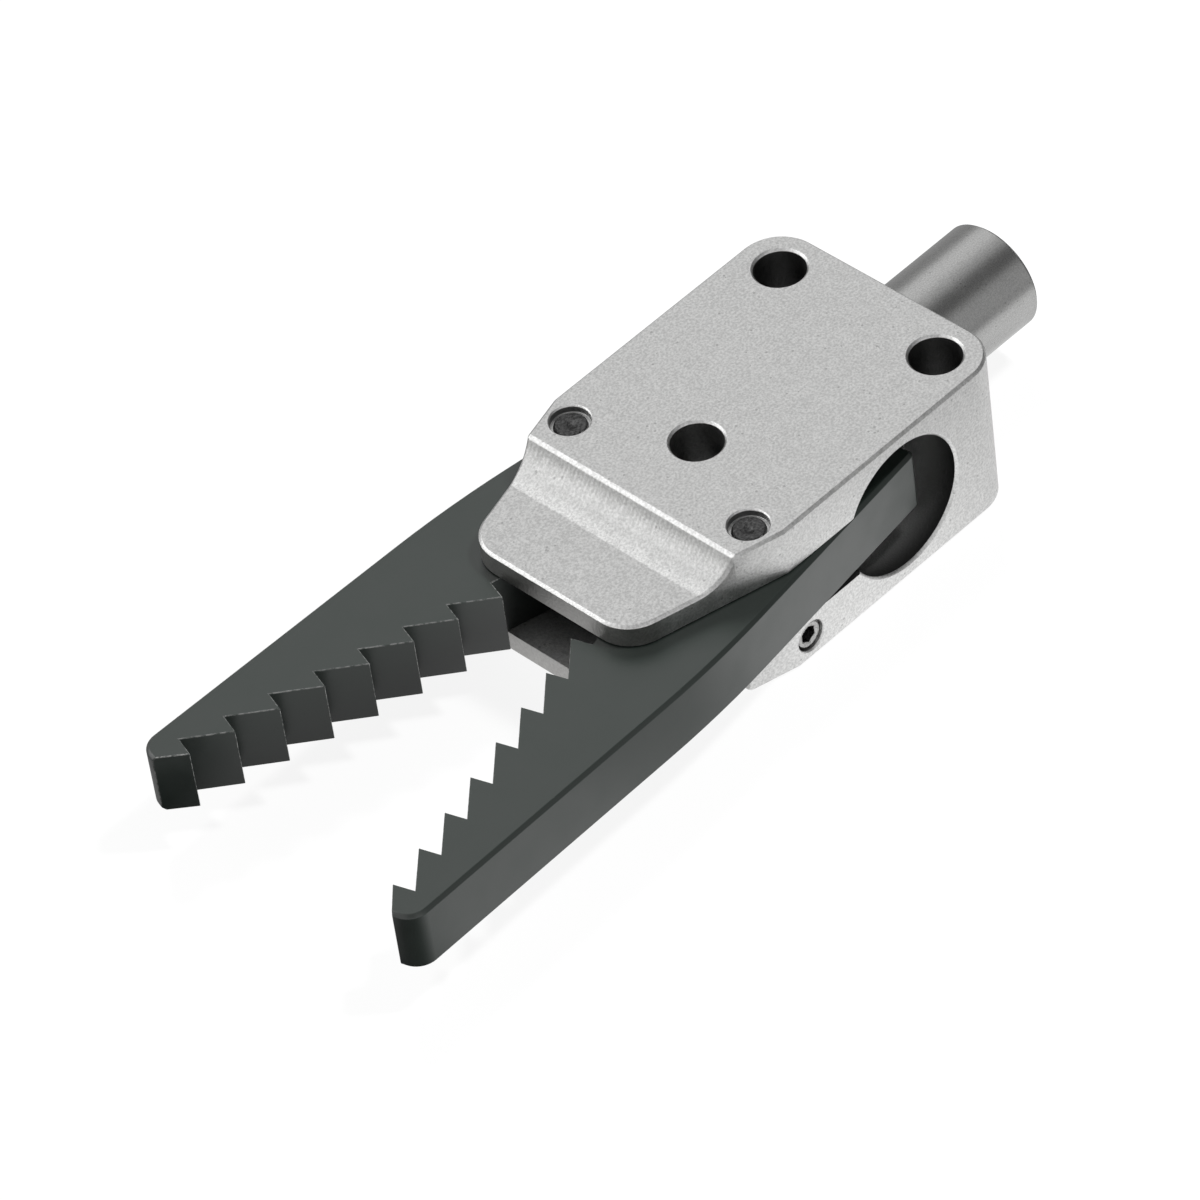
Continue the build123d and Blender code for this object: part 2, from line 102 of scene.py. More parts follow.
class Graph:
    """Adds nodes to one shader tree and joins them."""

    def __init__(self, tree: bpy.types.NodeTree) -> None:
        """Starts on a tree.

        Args:
            tree: the material's or the group's node tree.
        """
        self.tree = tree

    def plug(self, socket: Socket, value: Any) -> None:
        """Joins a socket to another one, or gives it a plain value.

        Args:
            socket: the input.
            value: an output socket, or a number, vector or colour.
        """
        if isinstance(value, bpy.types.NodeSocket):
            self.tree.links.new(value, socket)
        elif value is not None:
            socket.default_value = value

    def node(self, kind: str, inputs: dict[str | int, Any] | None = None, **settings: Any) -> bpy.types.Node:
        """Adds a node.

        Args:
            kind: the node's type without its prefix.
            inputs: what goes into its sockets, by name or number.
            settings: the node's own properties.

        Returns:
            The new node.
        """
        made = self.tree.nodes.new("ShaderNode" + kind)
        for name, value in settings.items():
            setattr(made, name, value)
        for key, value in (inputs or {}).items():
            self.plug(made.inputs[key], value)
        return made

    def math(self, operation: str, first: Any, *others: Any) -> Socket:
        """Works on the first value with the second, on the result with the third, and so on.

        Args:
            operation: the Math node's operation.
            first: the first value.
            others: the other values, where the operation has them.

        Returns:
            The result's socket.
        """
        for other in others or (None,):
            first = self.node("Math", {0: first, 1: other}, operation=operation).outputs[0]
        return first

    def times(self, *values: Any) -> Socket:
        """The product of the values."""
        return self.math("MULTIPLY", *values)

    def span(self, value: Any, low: float, high: float, start: float = 0.0, end: float = 1.0) -> Socket:
        """Carries a value smoothly from one range into another.

        Args:
            value: the value.
            low: where the result is start.
            high: where the result is end.
            start: the result at low and beyond it.
            end: the result at high and beyond it.

        Returns:
            The result's socket.
        """
        values = {"Value": value, "From Min": low, "From Max": high, "To Min": start, "To Max": end}
        return self.node("MapRange", values, interpolation_type="SMOOTHSTEP").outputs["Result"]

    def blend(self, share: Any, first: Any, second: Any) -> Socket:
        """Mixes two colours.

        Args:
            share: how much of the second shows.
            first: the first colour.
            second: the second colour.

        Returns:
            The mixed colour's socket.
        """
        made = self.node("Mix", data_type="RGBA")
        for number, value in ((0, share), (6, first), (7, second)):
            self.plug(made.inputs[number], (*value, 1.0) if isinstance(value, tuple) else value)
        return made.outputs[2]

    def noise(self, place: Socket, scale: Any, detail: float, roughness: float = 0.5) -> Socket:
        """A noise in space.

        Args:
            place: where it is read.
            scale: its features per unit of place.
            detail: how many finer noises it holds.
            roughness: how strong those are.

        Returns:
            Its value, mostly within NOISE_RANGE.
        """
        values = {"Vector": place, "Scale": scale, "Detail": detail, "Roughness": roughness}
        return self.node("TexNoise", values).outputs[0]

    def scaled(self, vector: Socket, factor: float) -> Socket:
        """A vector or colour times a number."""
        return self.node("VectorMath", {0: vector, 1: (factor,) * 3}, operation="MULTIPLY").outputs[0]

    def parts(self, vector: Socket) -> Any:
        """The three values of a vector."""
        return self.node("SeparateXYZ", {0: vector}).outputs

    def lean(self) -> Any:
        """The three values of the direction that the surface faces."""
        return self.parts(self.node("NewGeometry").outputs["True Normal"])

    def near(self, first: Socket, second: Socket, middle: tuple[float, float], radius: float) -> Socket:
        """Tells whether two values lie in a circle.

        Args:
            first: the first value.
            second: the second value.
            middle: the circle's middle.
            radius: its radius.

        Returns:
            The socket, 1 in the circle and 0 outside it.
        """
        away = self.node("CombineXYZ", {
            0: self.math("SUBTRACT", first, middle[0]), 1: self.math("SUBTRACT", second, middle[1]),
        })
        far = self.node("VectorMath", {0: away.outputs[0]}, operation="LENGTH").outputs["Value"]
        return self.math("LESS_THAN", far, radius)


class Effects:
    """The shader groups that the finishes share, each built once."""

    def __init__(self) -> None:
        """Builds every group."""
        self.grain = self._grain()
        self.wear = self._wear()
        self.marks = self._marks()

    @staticmethod
    def _start(name: str, inputs: dict[str, float], outputs: tuple[str, ...]) -> tuple[Graph, Any, Any, Socket]:
        """Opens a new group that takes the surface's place.

        Args:
            name: the group's name.
            inputs: its other inputs with their usual values.
            outputs: the names of its values.

        Returns:
            The graph, what it is given, what it puts out, and the place in millimetres.
        """
        tree = bpy.data.node_groups.new(name, "ShaderNodeTree")
        tree.interface.new_socket("Place", in_out="INPUT", socket_type="NodeSocketVector")
        for label, usual in inputs.items():
            made = tree.interface.new_socket(label, in_out="INPUT", socket_type="NodeSocketFloat")
            made.default_value = usual
        for label in outputs:
            tree.interface.new_socket(label, in_out="OUTPUT", socket_type="NodeSocketFloat")
        graph = Graph(tree)
        given, out = tree.nodes.new("NodeGroupInput").outputs, tree.nodes.new("NodeGroupOutput").inputs
        return graph, given, out, graph.scaled(given["Place"], PER_MM)

    def _grain(self) -> bpy.types.NodeTree:
        """Fine grain, slow clouds and small pits of a metal skin.

        Returns:
            The group: Fine and Cloud lie between 0 and 1, Pits is 1 in a pit.
        """
        sizes = {"Grain Size": 0.2, "Cloud Size": 3.0}
        graph, given, out, place = self._start("metal_grain", sizes, ("Fine", "Cloud", "Pits"))
        fine_scale, cloud_scale = (graph.math("DIVIDE", 1.0, given[size]) for size in sizes)
        fine, cloud = graph.noise(place, fine_scale, 3.0, 0.62), graph.noise(place, cloud_scale, 4.0, 0.55)
        cells = graph.node("TexVoronoi", {"Vector": place, "Scale": graph.times(fine_scale, 0.3)})
        pit_radius, pitted_from = 0.16, 0.55
        pits = graph.times(graph.math("LESS_THAN", cells.outputs["Distance"], pit_radius),
                           graph.math("GREATER_THAN", cloud, pitted_from))
        for name, value in (("Fine", graph.span(fine, *NOISE_RANGE)), ("Cloud", graph.span(cloud, *NOISE_RANGE)),
                            ("Pits", pits)):
            graph.plug(out[name], value)
        return graph.tree

    def _wear(self) -> bpy.types.NodeTree:
        """Where an edge has been rubbed, by the value that the pieces carry on their faces.

        Returns:
            The group: Worn is 0 on a flat and runs up to 1 in patches on a sharp edge.
        """
        graph, given, out, place = self._start("edge_wear", {"Patch Size": 1.0}, ("Worn",))
        edge = graph.node("Attribute", attribute_name="rubbed").outputs["Fac"]
        patches = graph.noise(place, graph.math("DIVIDE", 1.0, given["Patch Size"]), 5.0, 0.65)
        kept, rubbed = 0.38, 0.62
        graph.plug(out["Worn"], graph.times(edge, graph.span(patches, kept, rubbed)))
        return graph.tree

    def _marks(self) -> bpy.types.NodeTree:
        """Lines that a cutter or a grinding wheel leaves, even in pitch and uneven in depth.

        Returns:
            The group: Lines runs from 0 in a groove to 1 on a ridge.
        """
        graph, given, out, place = self._start("tool_marks", {"Along": 0.0, "Pitch": 0.5}, ("Lines",))
        stray, faintest = 6.0, 0.35
        drift = graph.noise(place, 0.9, 3.0)
        turns = graph.math("DIVIDE", graph.times(given["Along"], PER_MM * TAU), given["Pitch"])
        phase = graph.math("ADD", turns, graph.times(drift, stray))
        wave = graph.times(graph.math("SINE", phase), 0.5, graph.span(drift, *NOISE_RANGE, faintest, 1.0))
        graph.plug(out["Lines"], graph.math("ADD", wave, 0.5))
        return graph.tree

    def lines(self, graph: Graph, along: Socket, place: Socket, pitch: float) -> Socket:
        """Places the group of the tool marks.

        Args:
            graph: the material's graph.
            along: the way across the marks, in metres.
            place: the surface's place.
            pitch: the marks' pitch, in millimetres.

        Returns:
            The lines' socket.
        """
        return graph.node("Group", {"Along": along, "Place": place, "Pitch": pitch}, node_tree=self.marks).outputs[0]


# Finishes


@dataclass(frozen=True)
class Finish:
    """A surface finish: its colours, its gloss and the size of its grain.

    Lengths are in millimetres and colours are linear.
    """

    slot: str
    colour: Colour
    worn_colour: Colour
    metallic: float = 1.0
    roughness: float = 0.4
    roughness_swing: float = 0.12
    specular: float = 0.5
    grain_size: float = 0.2
    cloud_size: float = 3.0
    cloud_share: float = 0.3
    grain_depth: float = 0.003
    shade_swing: float = 0.12
    pit_shade: float = 0.7
    wear_share: float = 0.6
    wear_patch: float = 1.0
    mark_axis: Axis | None = None
    mark_pitch: float = 0.25
    mark_depth: float = 0.002
    mark_shade: float = 0.06

    def dress(self, graph: Graph, effects: Effects, place: Socket) -> dict[str, Any]:
        """Works out the colour, roughness and height of the finish.

        Args:
            graph: the material's graph.
            effects: the shared groups.
            place: the surface's place, in metres.

        Returns:
            Sockets for "colour", "rough" and "height", and the metal's share as "metal".
        """
        sizes = {"Place": place, "Grain Size": self.grain_size, "Cloud Size": self.cloud_size}
        grain = graph.node("Group", sizes, node_tree=effects.grain).outputs
        wear = graph.node("Group", {"Place": place, "Patch Size": self.wear_patch}, node_tree=effects.wear).outputs
        mottle = graph.math("ADD", graph.times(grain["Fine"], 1.0 - self.cloud_share),
                            graph.times(grain["Cloud"], self.cloud_share))
        dark, light, pitted = (tuple(min(part * gain, 1.0) for part in self.colour)
                               for gain in (1.0 - self.shade_swing, 1.0 + self.shade_swing, self.pit_shade))
        colour = graph.blend(grain["Pits"], graph.blend(mottle, dark, light), pitted)
        height = graph.times(grain["Fine"], self.grain_depth * MM)
        if self.mark_axis:
            lines = effects.lines(graph, graph.parts(place)[self.mark_axis.value[0]], place, self.mark_pitch)
            height = graph.math("ADD", height, graph.times(lines, self.mark_depth * MM))
            colour = graph.blend(lines, graph.scaled(colour, 1.0 - self.mark_shade), colour)
        colour = graph.blend(graph.times(wear["Worn"], self.wear_share), colour, self.worn_colour)
        rough = graph.math("ADD", graph.times(grain["Cloud"], 2 * self.roughness_swing),
                           self.roughness - self.roughness_swing)
        return {"colour": colour, "rough": rough, "height": height, "metal": self.metallic}

    def material(self, effects: Effects) -> bpy.types.Material:
        """Builds the finish's material.

        Args:
            effects: the shared groups.

        Returns:
            The material.
        """
        made = bpy.data.materials.new(self.slot)
        made.use_nodes = True
        graph = Graph(made.node_tree)
        worked = self.dress(graph, effects, graph.node("TexCoord").outputs["Object"])
        bump = graph.node("Bump", {"Height": worked["height"], "Strength": 1.0, "Distance": 1.0})
        values = {
            "Base Color": worked["colour"], "Roughness": worked["rough"], "Metallic": worked["metal"],
            "Specular IOR Level": self.specular, "Normal": bump.outputs[0],
        }
        for name, value in values.items():
            graph.plug(made.node_tree.nodes["Principled BSDF"].inputs[name], value)
        return made


@dataclass(frozen=True)
class Spot:
    """Where a point of the surface lies, in millimetres, and whether the surface is upright there.

    Across and level are the distances from the middle planes.
    """

    x: Socket
    y: Socket
    z: Socket
    across: Socket
    level: Socket
    wall: Socket


@dataclass(frozen=True)
class Hole:
    """A hole through the block with painted shade on its walls: its axis, its radius and how much painted shade its
    walls take.
    """

    x: float
    y: float
    radius: float
    share: float


@dataclass(frozen=True)
class TumbledAluminium(Finish):
    """Bare aluminium from a vibratory tub, with cutter marks in its coves and dull bores, and painted light and shade
    in its coves, cross bore, nose walls, slot and holes.
    """

    nose_level: float = 7.38
    cove: tuple[float, float] = (43.4, 48.25)
    cove_gains: tuple[float, float] = (0.84, 1.38)
    cove_turn: tuple[float, float] = (2.7, 0.2)
    cove_roughness: float = 0.52
    steep_rise: tuple[float, float] = (2.1, 2.5)
    steep_colour: Colour = (0.3, 0.3, 0.29)
    steep_share: float = 0.15
    score_rise: tuple[float, float] = (0.7, 2.4)
    score_colour: Colour = (0.28, 0.28, 0.27)
    score_share: float = 0.45
    score_pitch: float = 0.62
    score_depth: float = 0.012
    nose_corner: float = 53.5
    nose_colour: Colour = (0.22, 0.215, 0.205)
    nose_shares: tuple[float, float] = (0.62, 0.7)
    slot_level: float = 4.38
    slot_start: float = 20.0
    slot_fade: tuple[float, float] = (58.5, 49.0)
    slot_shares: tuple[float, float] = (0.35, 0.9)
    slot_colour: Colour = (0.02, 0.02, 0.02)
    slot_roughness: float = 0.75
    hole_level: float = 10.5
    hole_colour: Colour = (0.20, 0.20, 0.20)
    bore_x: float = 18.3
    bore_radius: float = 8.95
    bore_light: float = 11.5
    bore_mouth: float = 17.4
    bore_colour: Colour = (0.75, 0.755, 0.75)
    mouth_colour: Colour = (0.03, 0.0305, 0.03)
    bore_share: float = 0.95
    bore_roughness: float = 0.45
    bore_roughness_share: float = 0.7
    bore_matt: float = 0.1
    holes: tuple[Hole, ...] = (
        Hole(5.44, 12.02, 3.2, 0.9), Hole(5.44, -12.02, 3.2, 0.9), Hole(32.26, 0.0, 3.2, 0.55),
        Hole(PIVOT[0], PIVOT[1], 2.5, 0.9), Hole(PIVOT[0], -PIVOT[1], 2.5, 0.9),
    )

    def _coves(
        self, graph: Graph, effects: Effects, place: Socket, spot: Spot, worked: dict[str, Any],
    ) -> dict[str, Any]:
        """Paints highlight and shade on the coves between the noses and the block, painted shade on their steep parts,
        and scores those steep parts.

        Args:
            graph: the material's graph.
            effects: the shared groups.
            place: the surface's place, in metres.
            spot: where the surface's point lies.
            worked: the finish so far.

        Returns:
            The finish with the coves.
        """
        start, end = self.cove
        inside = graph.times(graph.span(spot.x, start, start + 0.15), graph.span(spot.x, end, end - 0.3),
                             graph.span(spot.level, self.nose_level - 0.03, self.nose_level + 0.04))
        steep, scored = (graph.span(spot.level, *(self.nose_level + part for part in rise))
                         for rise in (self.steep_rise, self.score_rise))
        lines = graph.times(effects.lines(graph, graph.times(spot.y, MM), place, self.score_pitch), inside, scored)
        # painted shade on the cove's upper part and painted highlight on its lower part, as gains on the colour
        high, low = (graph.scaled(worked["colour"], gain) for gain in self.cove_gains)
        painted_cove_light = graph.blend(graph.span(spot.x, *(end - part for part in self.cove_turn)), high, low)
        colour = graph.blend(inside, worked["colour"], painted_cove_light)
        # painted shade on the steep upper part of each cove
        colour = graph.blend(graph.times(steep, inside, self.steep_share), colour, self.steep_colour)
        colour = graph.blend(graph.times(lines, self.score_share), colour, self.score_colour)
        height = graph.math("ADD", worked["height"], graph.times(lines, self.score_depth * MM))
        rough = graph.blend(inside, worked["rough"], (self.cove_roughness,) * 3)
        return {**worked, "colour": colour, "height": height, "rough": rough}

    def _recesses(self, graph: Graph, spot: Spot, worked: dict[str, Any]) -> dict[str, Any]:
        """Paints shade on the nose walls, the finger slot and the walls of the screw and pin holes.

        Args:
            graph: the material's graph.
            spot: where the surface's point lies.
            worked: the finish so far.

        Returns:
            The finish with the painted shade.
        """
        corner = self.nose_corner
        # painted shade on the forward-facing nose walls, a little deeper on the upper nose
        front = graph.times(spot.wall, graph.span(spot.x, corner - 2.0, corner + 1.5),
                            graph.span(spot.z, -1.0, 1.0, *self.nose_shares))
        colour = graph.blend(front, worked["colour"], self.nose_colour)
        slot = graph.times(graph.math("LESS_THAN", spot.level, self.slot_level),
                           graph.math("GREATER_THAN", spot.x, self.slot_start))
        rough = graph.blend(slot, worked["rough"], (self.slot_roughness,) * 3)
        # painted shade in the finger slot, darkest deep inside
        slot_shade = graph.times(slot, graph.span(spot.x, *self.slot_fade, *self.slot_shares))
        colour = graph.blend(slot_shade, colour, self.slot_colour)
        # painted shade on the walls of the screw and pin holes
        inside: Any = 0.0
        for hole in self.holes:
            near = graph.near(spot.x, spot.y, (hole.x, hole.y), hole.radius)
            inside = graph.math("MAXIMUM", inside, graph.times(near, hole.share))
        deep = graph.times(graph.math("LESS_THAN", spot.level, self.hole_level), spot.wall)
        colour = graph.blend(graph.times(inside, deep), colour, self.hole_colour)
        return {**worked, "colour": colour, "rough": rough}

    def dress(self, graph: Graph, effects: Effects, place: Socket) -> dict[str, Any]:
        """Adds the coves, the walls with painted shade and the cross bore, dull, with painted light deep inside and
        painted shade darkest at its mouths.

        Args:
            graph: the material's graph.
            effects: the shared groups.
            place: the surface's place.

        Returns:
            The same sockets as for any finish.
        """
        x, y, z = graph.parts(graph.scaled(place, PER_MM))
        wall = graph.math("LESS_THAN", graph.math("ABSOLUTE", graph.lean()[2]), 0.5)
        spot = Spot(x, y, z, graph.math("ABSOLUTE", y), graph.math("ABSOLUTE", z), wall)
        worked = self._coves(graph, effects, place, spot, super().dress(graph, effects, place))
        worked = self._recesses(graph, spot, worked)
        # the cross bore: painted light deep inside, painted shade towards its mouths
        bored = graph.times(graph.near(x, z, (self.bore_x, 0.0), self.bore_radius),
                            graph.math("LESS_THAN", spot.across, self.bore_mouth))
        bore_light_and_shade = graph.blend(graph.span(spot.across, self.bore_light, self.bore_mouth), self.bore_colour,
                             self.mouth_colour)
        return {
            **worked,
            "colour": graph.blend(graph.times(bored, self.bore_share), worked["colour"], bore_light_and_shade),
            "rough": graph.blend(graph.times(bored, self.bore_roughness_share), worked["rough"],
                                 (self.bore_roughness,) * 3),
            "metal": graph.math("SUBTRACT", 1.0, graph.times(bored, self.bore_matt)),
        }


@dataclass(frozen=True)
class BlackAnodised(Finish):
    """Hard anodised aluminium with painted shade on its chamfers."""

    chamfer_lean: float = 0.7
    chamfer_spread: tuple[float, float] = (0.2, 0.1)
    chamfer_share: float = 0.55
    chamfer_shade: float = 0.25

    def dress(self, graph: Graph, effects: Effects, place: Socket) -> dict[str, Any]:
        """Paints shade on the surfaces that lean at about half a right angle.

        Args:
            graph: the material's graph.
            effects: the shared groups.
            place: the surface's place.

        Returns:
            The same sockets as for any finish.
        """
        worked = super().dress(graph, effects, place)
        # painted shade on the chamfers, chosen by how far the surface leans
        off = graph.math("SUBTRACT", graph.math("ABSOLUTE", graph.lean()[2]), self.chamfer_lean)
        chamfer_shade_mask = graph.times(graph.span(graph.math("ABSOLUTE", off), *self.chamfer_spread), self.chamfer_share)
        dark = tuple(part * self.chamfer_shade for part in self.colour)
        return {**worked, "colour": graph.blend(chamfer_shade_mask, worked["colour"], dark)}


@dataclass(frozen=True)
class BlackSteel(Finish):
    """Black oxide, rubbed off the ends of the screws that lie across the gripper."""

    bare_colour: Colour = (0.5, 0.5, 0.495)
    bare_share: float = 0.8
    bare_lean: float = 0.7

    def dress(self, graph: Graph, effects: Effects, place: Socket) -> dict[str, Any]:
        """Bares the surfaces that face sideways.

        Args:
            graph: the material's graph.
            effects: the shared groups.
            place: the surface's place.

        Returns:
            The same sockets as for any finish.
        """
        worked = super().dress(graph, effects, place)
        sideways = graph.math("GREATER_THAN", graph.math("ABSOLUTE", graph.lean()[1]), self.bare_lean)
        bare = graph.times(sideways, self.bare_share)
        return {**worked, "colour": graph.blend(bare, worked["colour"], self.bare_colour)}


FINISHES: tuple[Finish, ...] = (
    TumbledAluminium(
        slot="housing_aluminium", colour=(0.60, 0.60, 0.595), worn_colour=(0.88, 0.88, 0.87), roughness=0.40,
        roughness_swing=0.03, grain_size=0.3, cloud_size=2.2, cloud_share=0.2, grain_depth=0.013, shade_swing=0.21,
        wear_share=0.2, wear_patch=0.6,
    ),
    Finish(
        slot="piston_aluminium", colour=(0.72, 0.72, 0.72), worn_colour=(0.85, 0.85, 0.85), roughness=0.3,
        mark_axis=Axis.X, mark_pitch=0.16, mark_depth=0.004, mark_shade=0.12,
    ),
    BlackAnodised(
        slot="black_anodised", colour=(0.0115, 0.0158, 0.0136), worn_colour=(0.22, 0.22, 0.217), metallic=0.0,
        specular=0.70, roughness=0.33, roughness_swing=0.04, grain_size=0.1, cloud_size=5.0, grain_depth=0.0015,
        shade_swing=0.08, pit_shade=1.25, wear_share=0.8, wear_patch=0.5,
    ),
    Finish(
        slot="ground_steel", colour=(0.46, 0.46, 0.455), worn_colour=(0.25, 0.25, 0.25), roughness=0.25,
        roughness_swing=0.015, cloud_size=3.5, cloud_share=0.15, grain_depth=0.0015, shade_swing=0.14,
        mark_axis=Axis.X, mark_pitch=0.11, mark_depth=0.0012, mark_shade=0.10, wear_share=0.8,
    ),
    Finish(
        slot="hardened_steel", colour=(0.42, 0.42, 0.42), worn_colour=(0.62, 0.62, 0.62), roughness=0.26,
        grain_size=0.12, shade_swing=0.1, mark_axis=Axis.Z, mark_pitch=0.14, mark_depth=0.001, mark_shade=0.08,
    ),
    BlackSteel(
        slot="black_steel", colour=(0.08, 0.08, 0.08), worn_colour=(0.55, 0.55, 0.54), roughness=0.36,
        grain_size=0.3, cloud_size=0.7, grain_depth=0.04, shade_swing=0.7, wear_share=1.0, wear_patch=0.5,
    ),
    Finish(
        slot="spring_steel", colour=(0.38, 0.38, 0.37), worn_colour=(0.6, 0.6, 0.59), roughness=0.3,
        grain_size=0.08, cloud_size=0.8, grain_depth=0.001,
    ),
    Finish(
        slot="bearing_bronze", colour=(0.50, 0.34, 0.17), worn_colour=(0.7, 0.52, 0.3), roughness=0.46,
        grain_size=0.18, cloud_size=1.5, grain_depth=0.008, shade_swing=0.2, pit_shade=0.35,
    ),
    Finish(
        slot="bearing_plastic", colour=(0.10, 0.085, 0.07), worn_colour=(0.2, 0.18, 0.16), metallic=0.0,
        roughness=0.55, grain_size=0.15,
    ),
    Finish(
        slot="rubber", colour=(0.018, 0.018, 0.018), worn_colour=(0.06, 0.06, 0.06), metallic=0.0, roughness=0.62,
        grain_size=0.12, grain_depth=0.004, specular=0.4,
    ),
)


# Studio


@dataclass(frozen=True)
class Shade:
    """A soft dark card that only polished surfaces see: where it hangs and how much it takes away."""

    way: Point
    edge: float
    middle: float
    depth: float


@dataclass(frozen=True)
class Pool:
    """A round patch of the floor whose brightness in polished surfaces differs from the rest."""

    middle: tuple[float, float]
    inner: float
    outer: float
    level: float


@dataclass(frozen=True)
class Lamp:
    """A square soft lamp that faces the gripper, and whether polished surfaces mirror it."""

    name: str
    place: Point
    size: float
    watts: float
    shines: bool = False


def shown(name: str, data: Any) -> bpy.types.Object:
    """Adds an object to the scene.

    Args:
        name: its name.
        data: its mesh, light or camera.

    Returns:
        The object.
    """
    made = bpy.data.objects.new(name, data)
    bpy.context.scene.collection.objects.link(made)
    return made


@dataclass(frozen=True)
class Studio:
    """The pale floor, the soft lights and the camera."""

    camera_place: Point = (436.99, 454.99, 586.64)
    camera_right: Point = (-0.6863073, 0.7196667, -0.1051764)
    camera_down: Point = (0.5616443, 0.4325305, -0.7053177)
    lens: float = 223.72
    sensor: float = 36.0
    floor_level: float = -10.75
    floor_size: float = 4000.0
    floor_share: float = 0.88
    floor_colour: Colour = (0.9, 0.9, 0.9)
    floor_bounce: Colour = (0.12, 0.12, 0.12)
    ambient: float = 0.09
    shades: tuple[Shade, ...] = (
        Shade((-0.462, 0.392, 0.795), 0.925, 0.995, 0.66),
        Shade((-0.47, 0.40, 0.79), 0.66, 0.99, 0.52),
        Shade((-0.462, 0.88, -0.05), 0.84, 0.98, 0.50),
        Shade((-0.46, -0.88, 0.0), 0.80, 0.97, 0.62),
        Shade((0.72, -0.62, -0.30), 0.72, 0.95, 0.45),
        Shade((-0.82, 0.42, 0.34), 0.89, 0.98, 0.85),
        Shade((-1.0, 0.0, 0.06), 0.90, 0.98, 0.85),
        Shade((0.49, 0.47, 0.69), 0.93, 0.985, 0.65),
        Shade((0.70, -0.54, 0.46), 0.93, 0.99, 0.40),
    )
    band: tuple[float, float, float, float] = (-22.0, -6.0, 30.0, 58.0)
    band_level: float = 0.42
    pools: tuple[Pool, ...] = (
        Pool((24.0, 27.0), 6.0, 26.0, 1.3), Pool((110.5, -11.0), 5.5, 12.0, 0.03),
        Pool((112.0, 26.0), 9.0, 24.0, 0.08), Pool((88.0, -8.0), 10.0, 30.0, 0.60),
        Pool((52.0, 38.0), 8.0, 20.0, 0.70), Pool((-10.0, 2.0), 7.0, 17.0, 0.85),
        Pool((-42.0, -5.0), 16.0, 26.0, 0.08),
    )
    lamp_aim: Point = (30.0, 0.0, 0.0)
    lamps: tuple[Lamp, ...] = (
        Lamp("key_lamp", (-190.0, 260.0, 700.0), 110.0, 5.2), Lamp("back_lamp", (-230.0, -330.0, 690.0), 160.0, 4.6),
        Lamp("side_lamp", (60.0, 790.0, 150.0), 250.0, 5.4),
        Lamp("fill_lamp", (476.0, -558.0, 370.0), 620.0, 2.0, shines=True),
    )

    def camera(self) -> None:
        """Sets the camera where the photograph was taken from."""
        data = bpy.data.cameras.new("camera")
        data.lens, data.sensor_width, data.sensor_fit = self.lens, self.sensor, "HORIZONTAL"
        data.clip_start, data.clip_end = 0.01, 20.0
        made = shown("camera", data)
        right, up = Vector(self.camera_right).normalized(), -Vector(self.camera_down).normalized()
        back = right.cross(up).normalized()
        facing = Matrix((right, back.cross(right), back)).transposed().to_4x4()
        made.matrix_world = Matrix.Translation(Vector(self.camera_place) * MM) @ facing
        bpy.context.scene.camera = made

    def _glow(self, graph: Graph) -> Socket:
        """How bright the floor is in polished surfaces: a band of light along the gripper, and the pools.

        Args:
            graph: the floor material's graph.

        Returns:
            The brightness socket.
        """
        place = graph.node("TexCoord").outputs["Object"]
        across = graph.times(graph.parts(place)[1], PER_MM)
        dim, (far_left, left, right, far_right) = self.band_level, self.band
        glow = graph.times(graph.span(across, far_left, left, dim, 1.0), graph.span(across, right, far_right, 1.0, dim))
        for pool in self.pools:
            spot = {0: place, 1: (pool.middle[0] * MM, pool.middle[1] * MM, self.floor_level * MM)}
            far = graph.node("VectorMath", spot, operation="DISTANCE").outputs["Value"]
            glow = graph.times(glow, graph.span(far, pool.inner * MM, pool.outer * MM, pool.level, 1.0))
        return glow

    def floor(self) -> None:
        """Lays the floor, white to the camera and shaded where the gripper keeps the light off."""
        half, level = self.floor_size / 2 * MM, self.floor_level * MM
        mesh = bpy.data.meshes.new("floor")
        places = [(x * half, y * half, level) for x, y in ((-1, -1), (1, -1), (1, 1), (-1, 1))]
        mesh.from_pydata(places, [], [(0, 1, 2, 3)])
        made = shown("floor", mesh)
        paint = bpy.data.materials.new("floor_white")
        paint.use_nodes = True
        graph, nodes = Graph(paint.node_tree), paint.node_tree.nodes
        nodes.remove(nodes["Principled BSDF"])
        path = graph.node("LightPath").outputs
        colour = graph.blend(path["Is Diffuse Ray"], self.floor_colour, self.floor_bounce)
        matt = graph.node("BsdfDiffuse", {"Color": colour})
        mirrored = graph.blend(path["Is Glossy Ray"], WHITE, self._glow(graph))
        white = graph.node("Emission", {"Color": mirrored, "Strength": 1.0})
        seen = graph.math("MAXIMUM", path["Is Camera Ray"], path["Is Transmission Ray"])
        share = graph.math("MAXIMUM", graph.times(seen, self.floor_share), path["Is Glossy Ray"])
        lit = graph.node("MixShader", {0: share, 1: matt.outputs[0], 2: white.outputs[0]})
        under = graph.node("NewGeometry").outputs["Backfacing"]
        clear = graph.node("BsdfTransparent")
        both = graph.node("MixShader", {0: under, 1: lit.outputs[0], 2: clear.outputs[0]})
        graph.plug(nodes["Material Output"].inputs["Surface"], both.outputs[0])
        mesh.materials.append(paint)

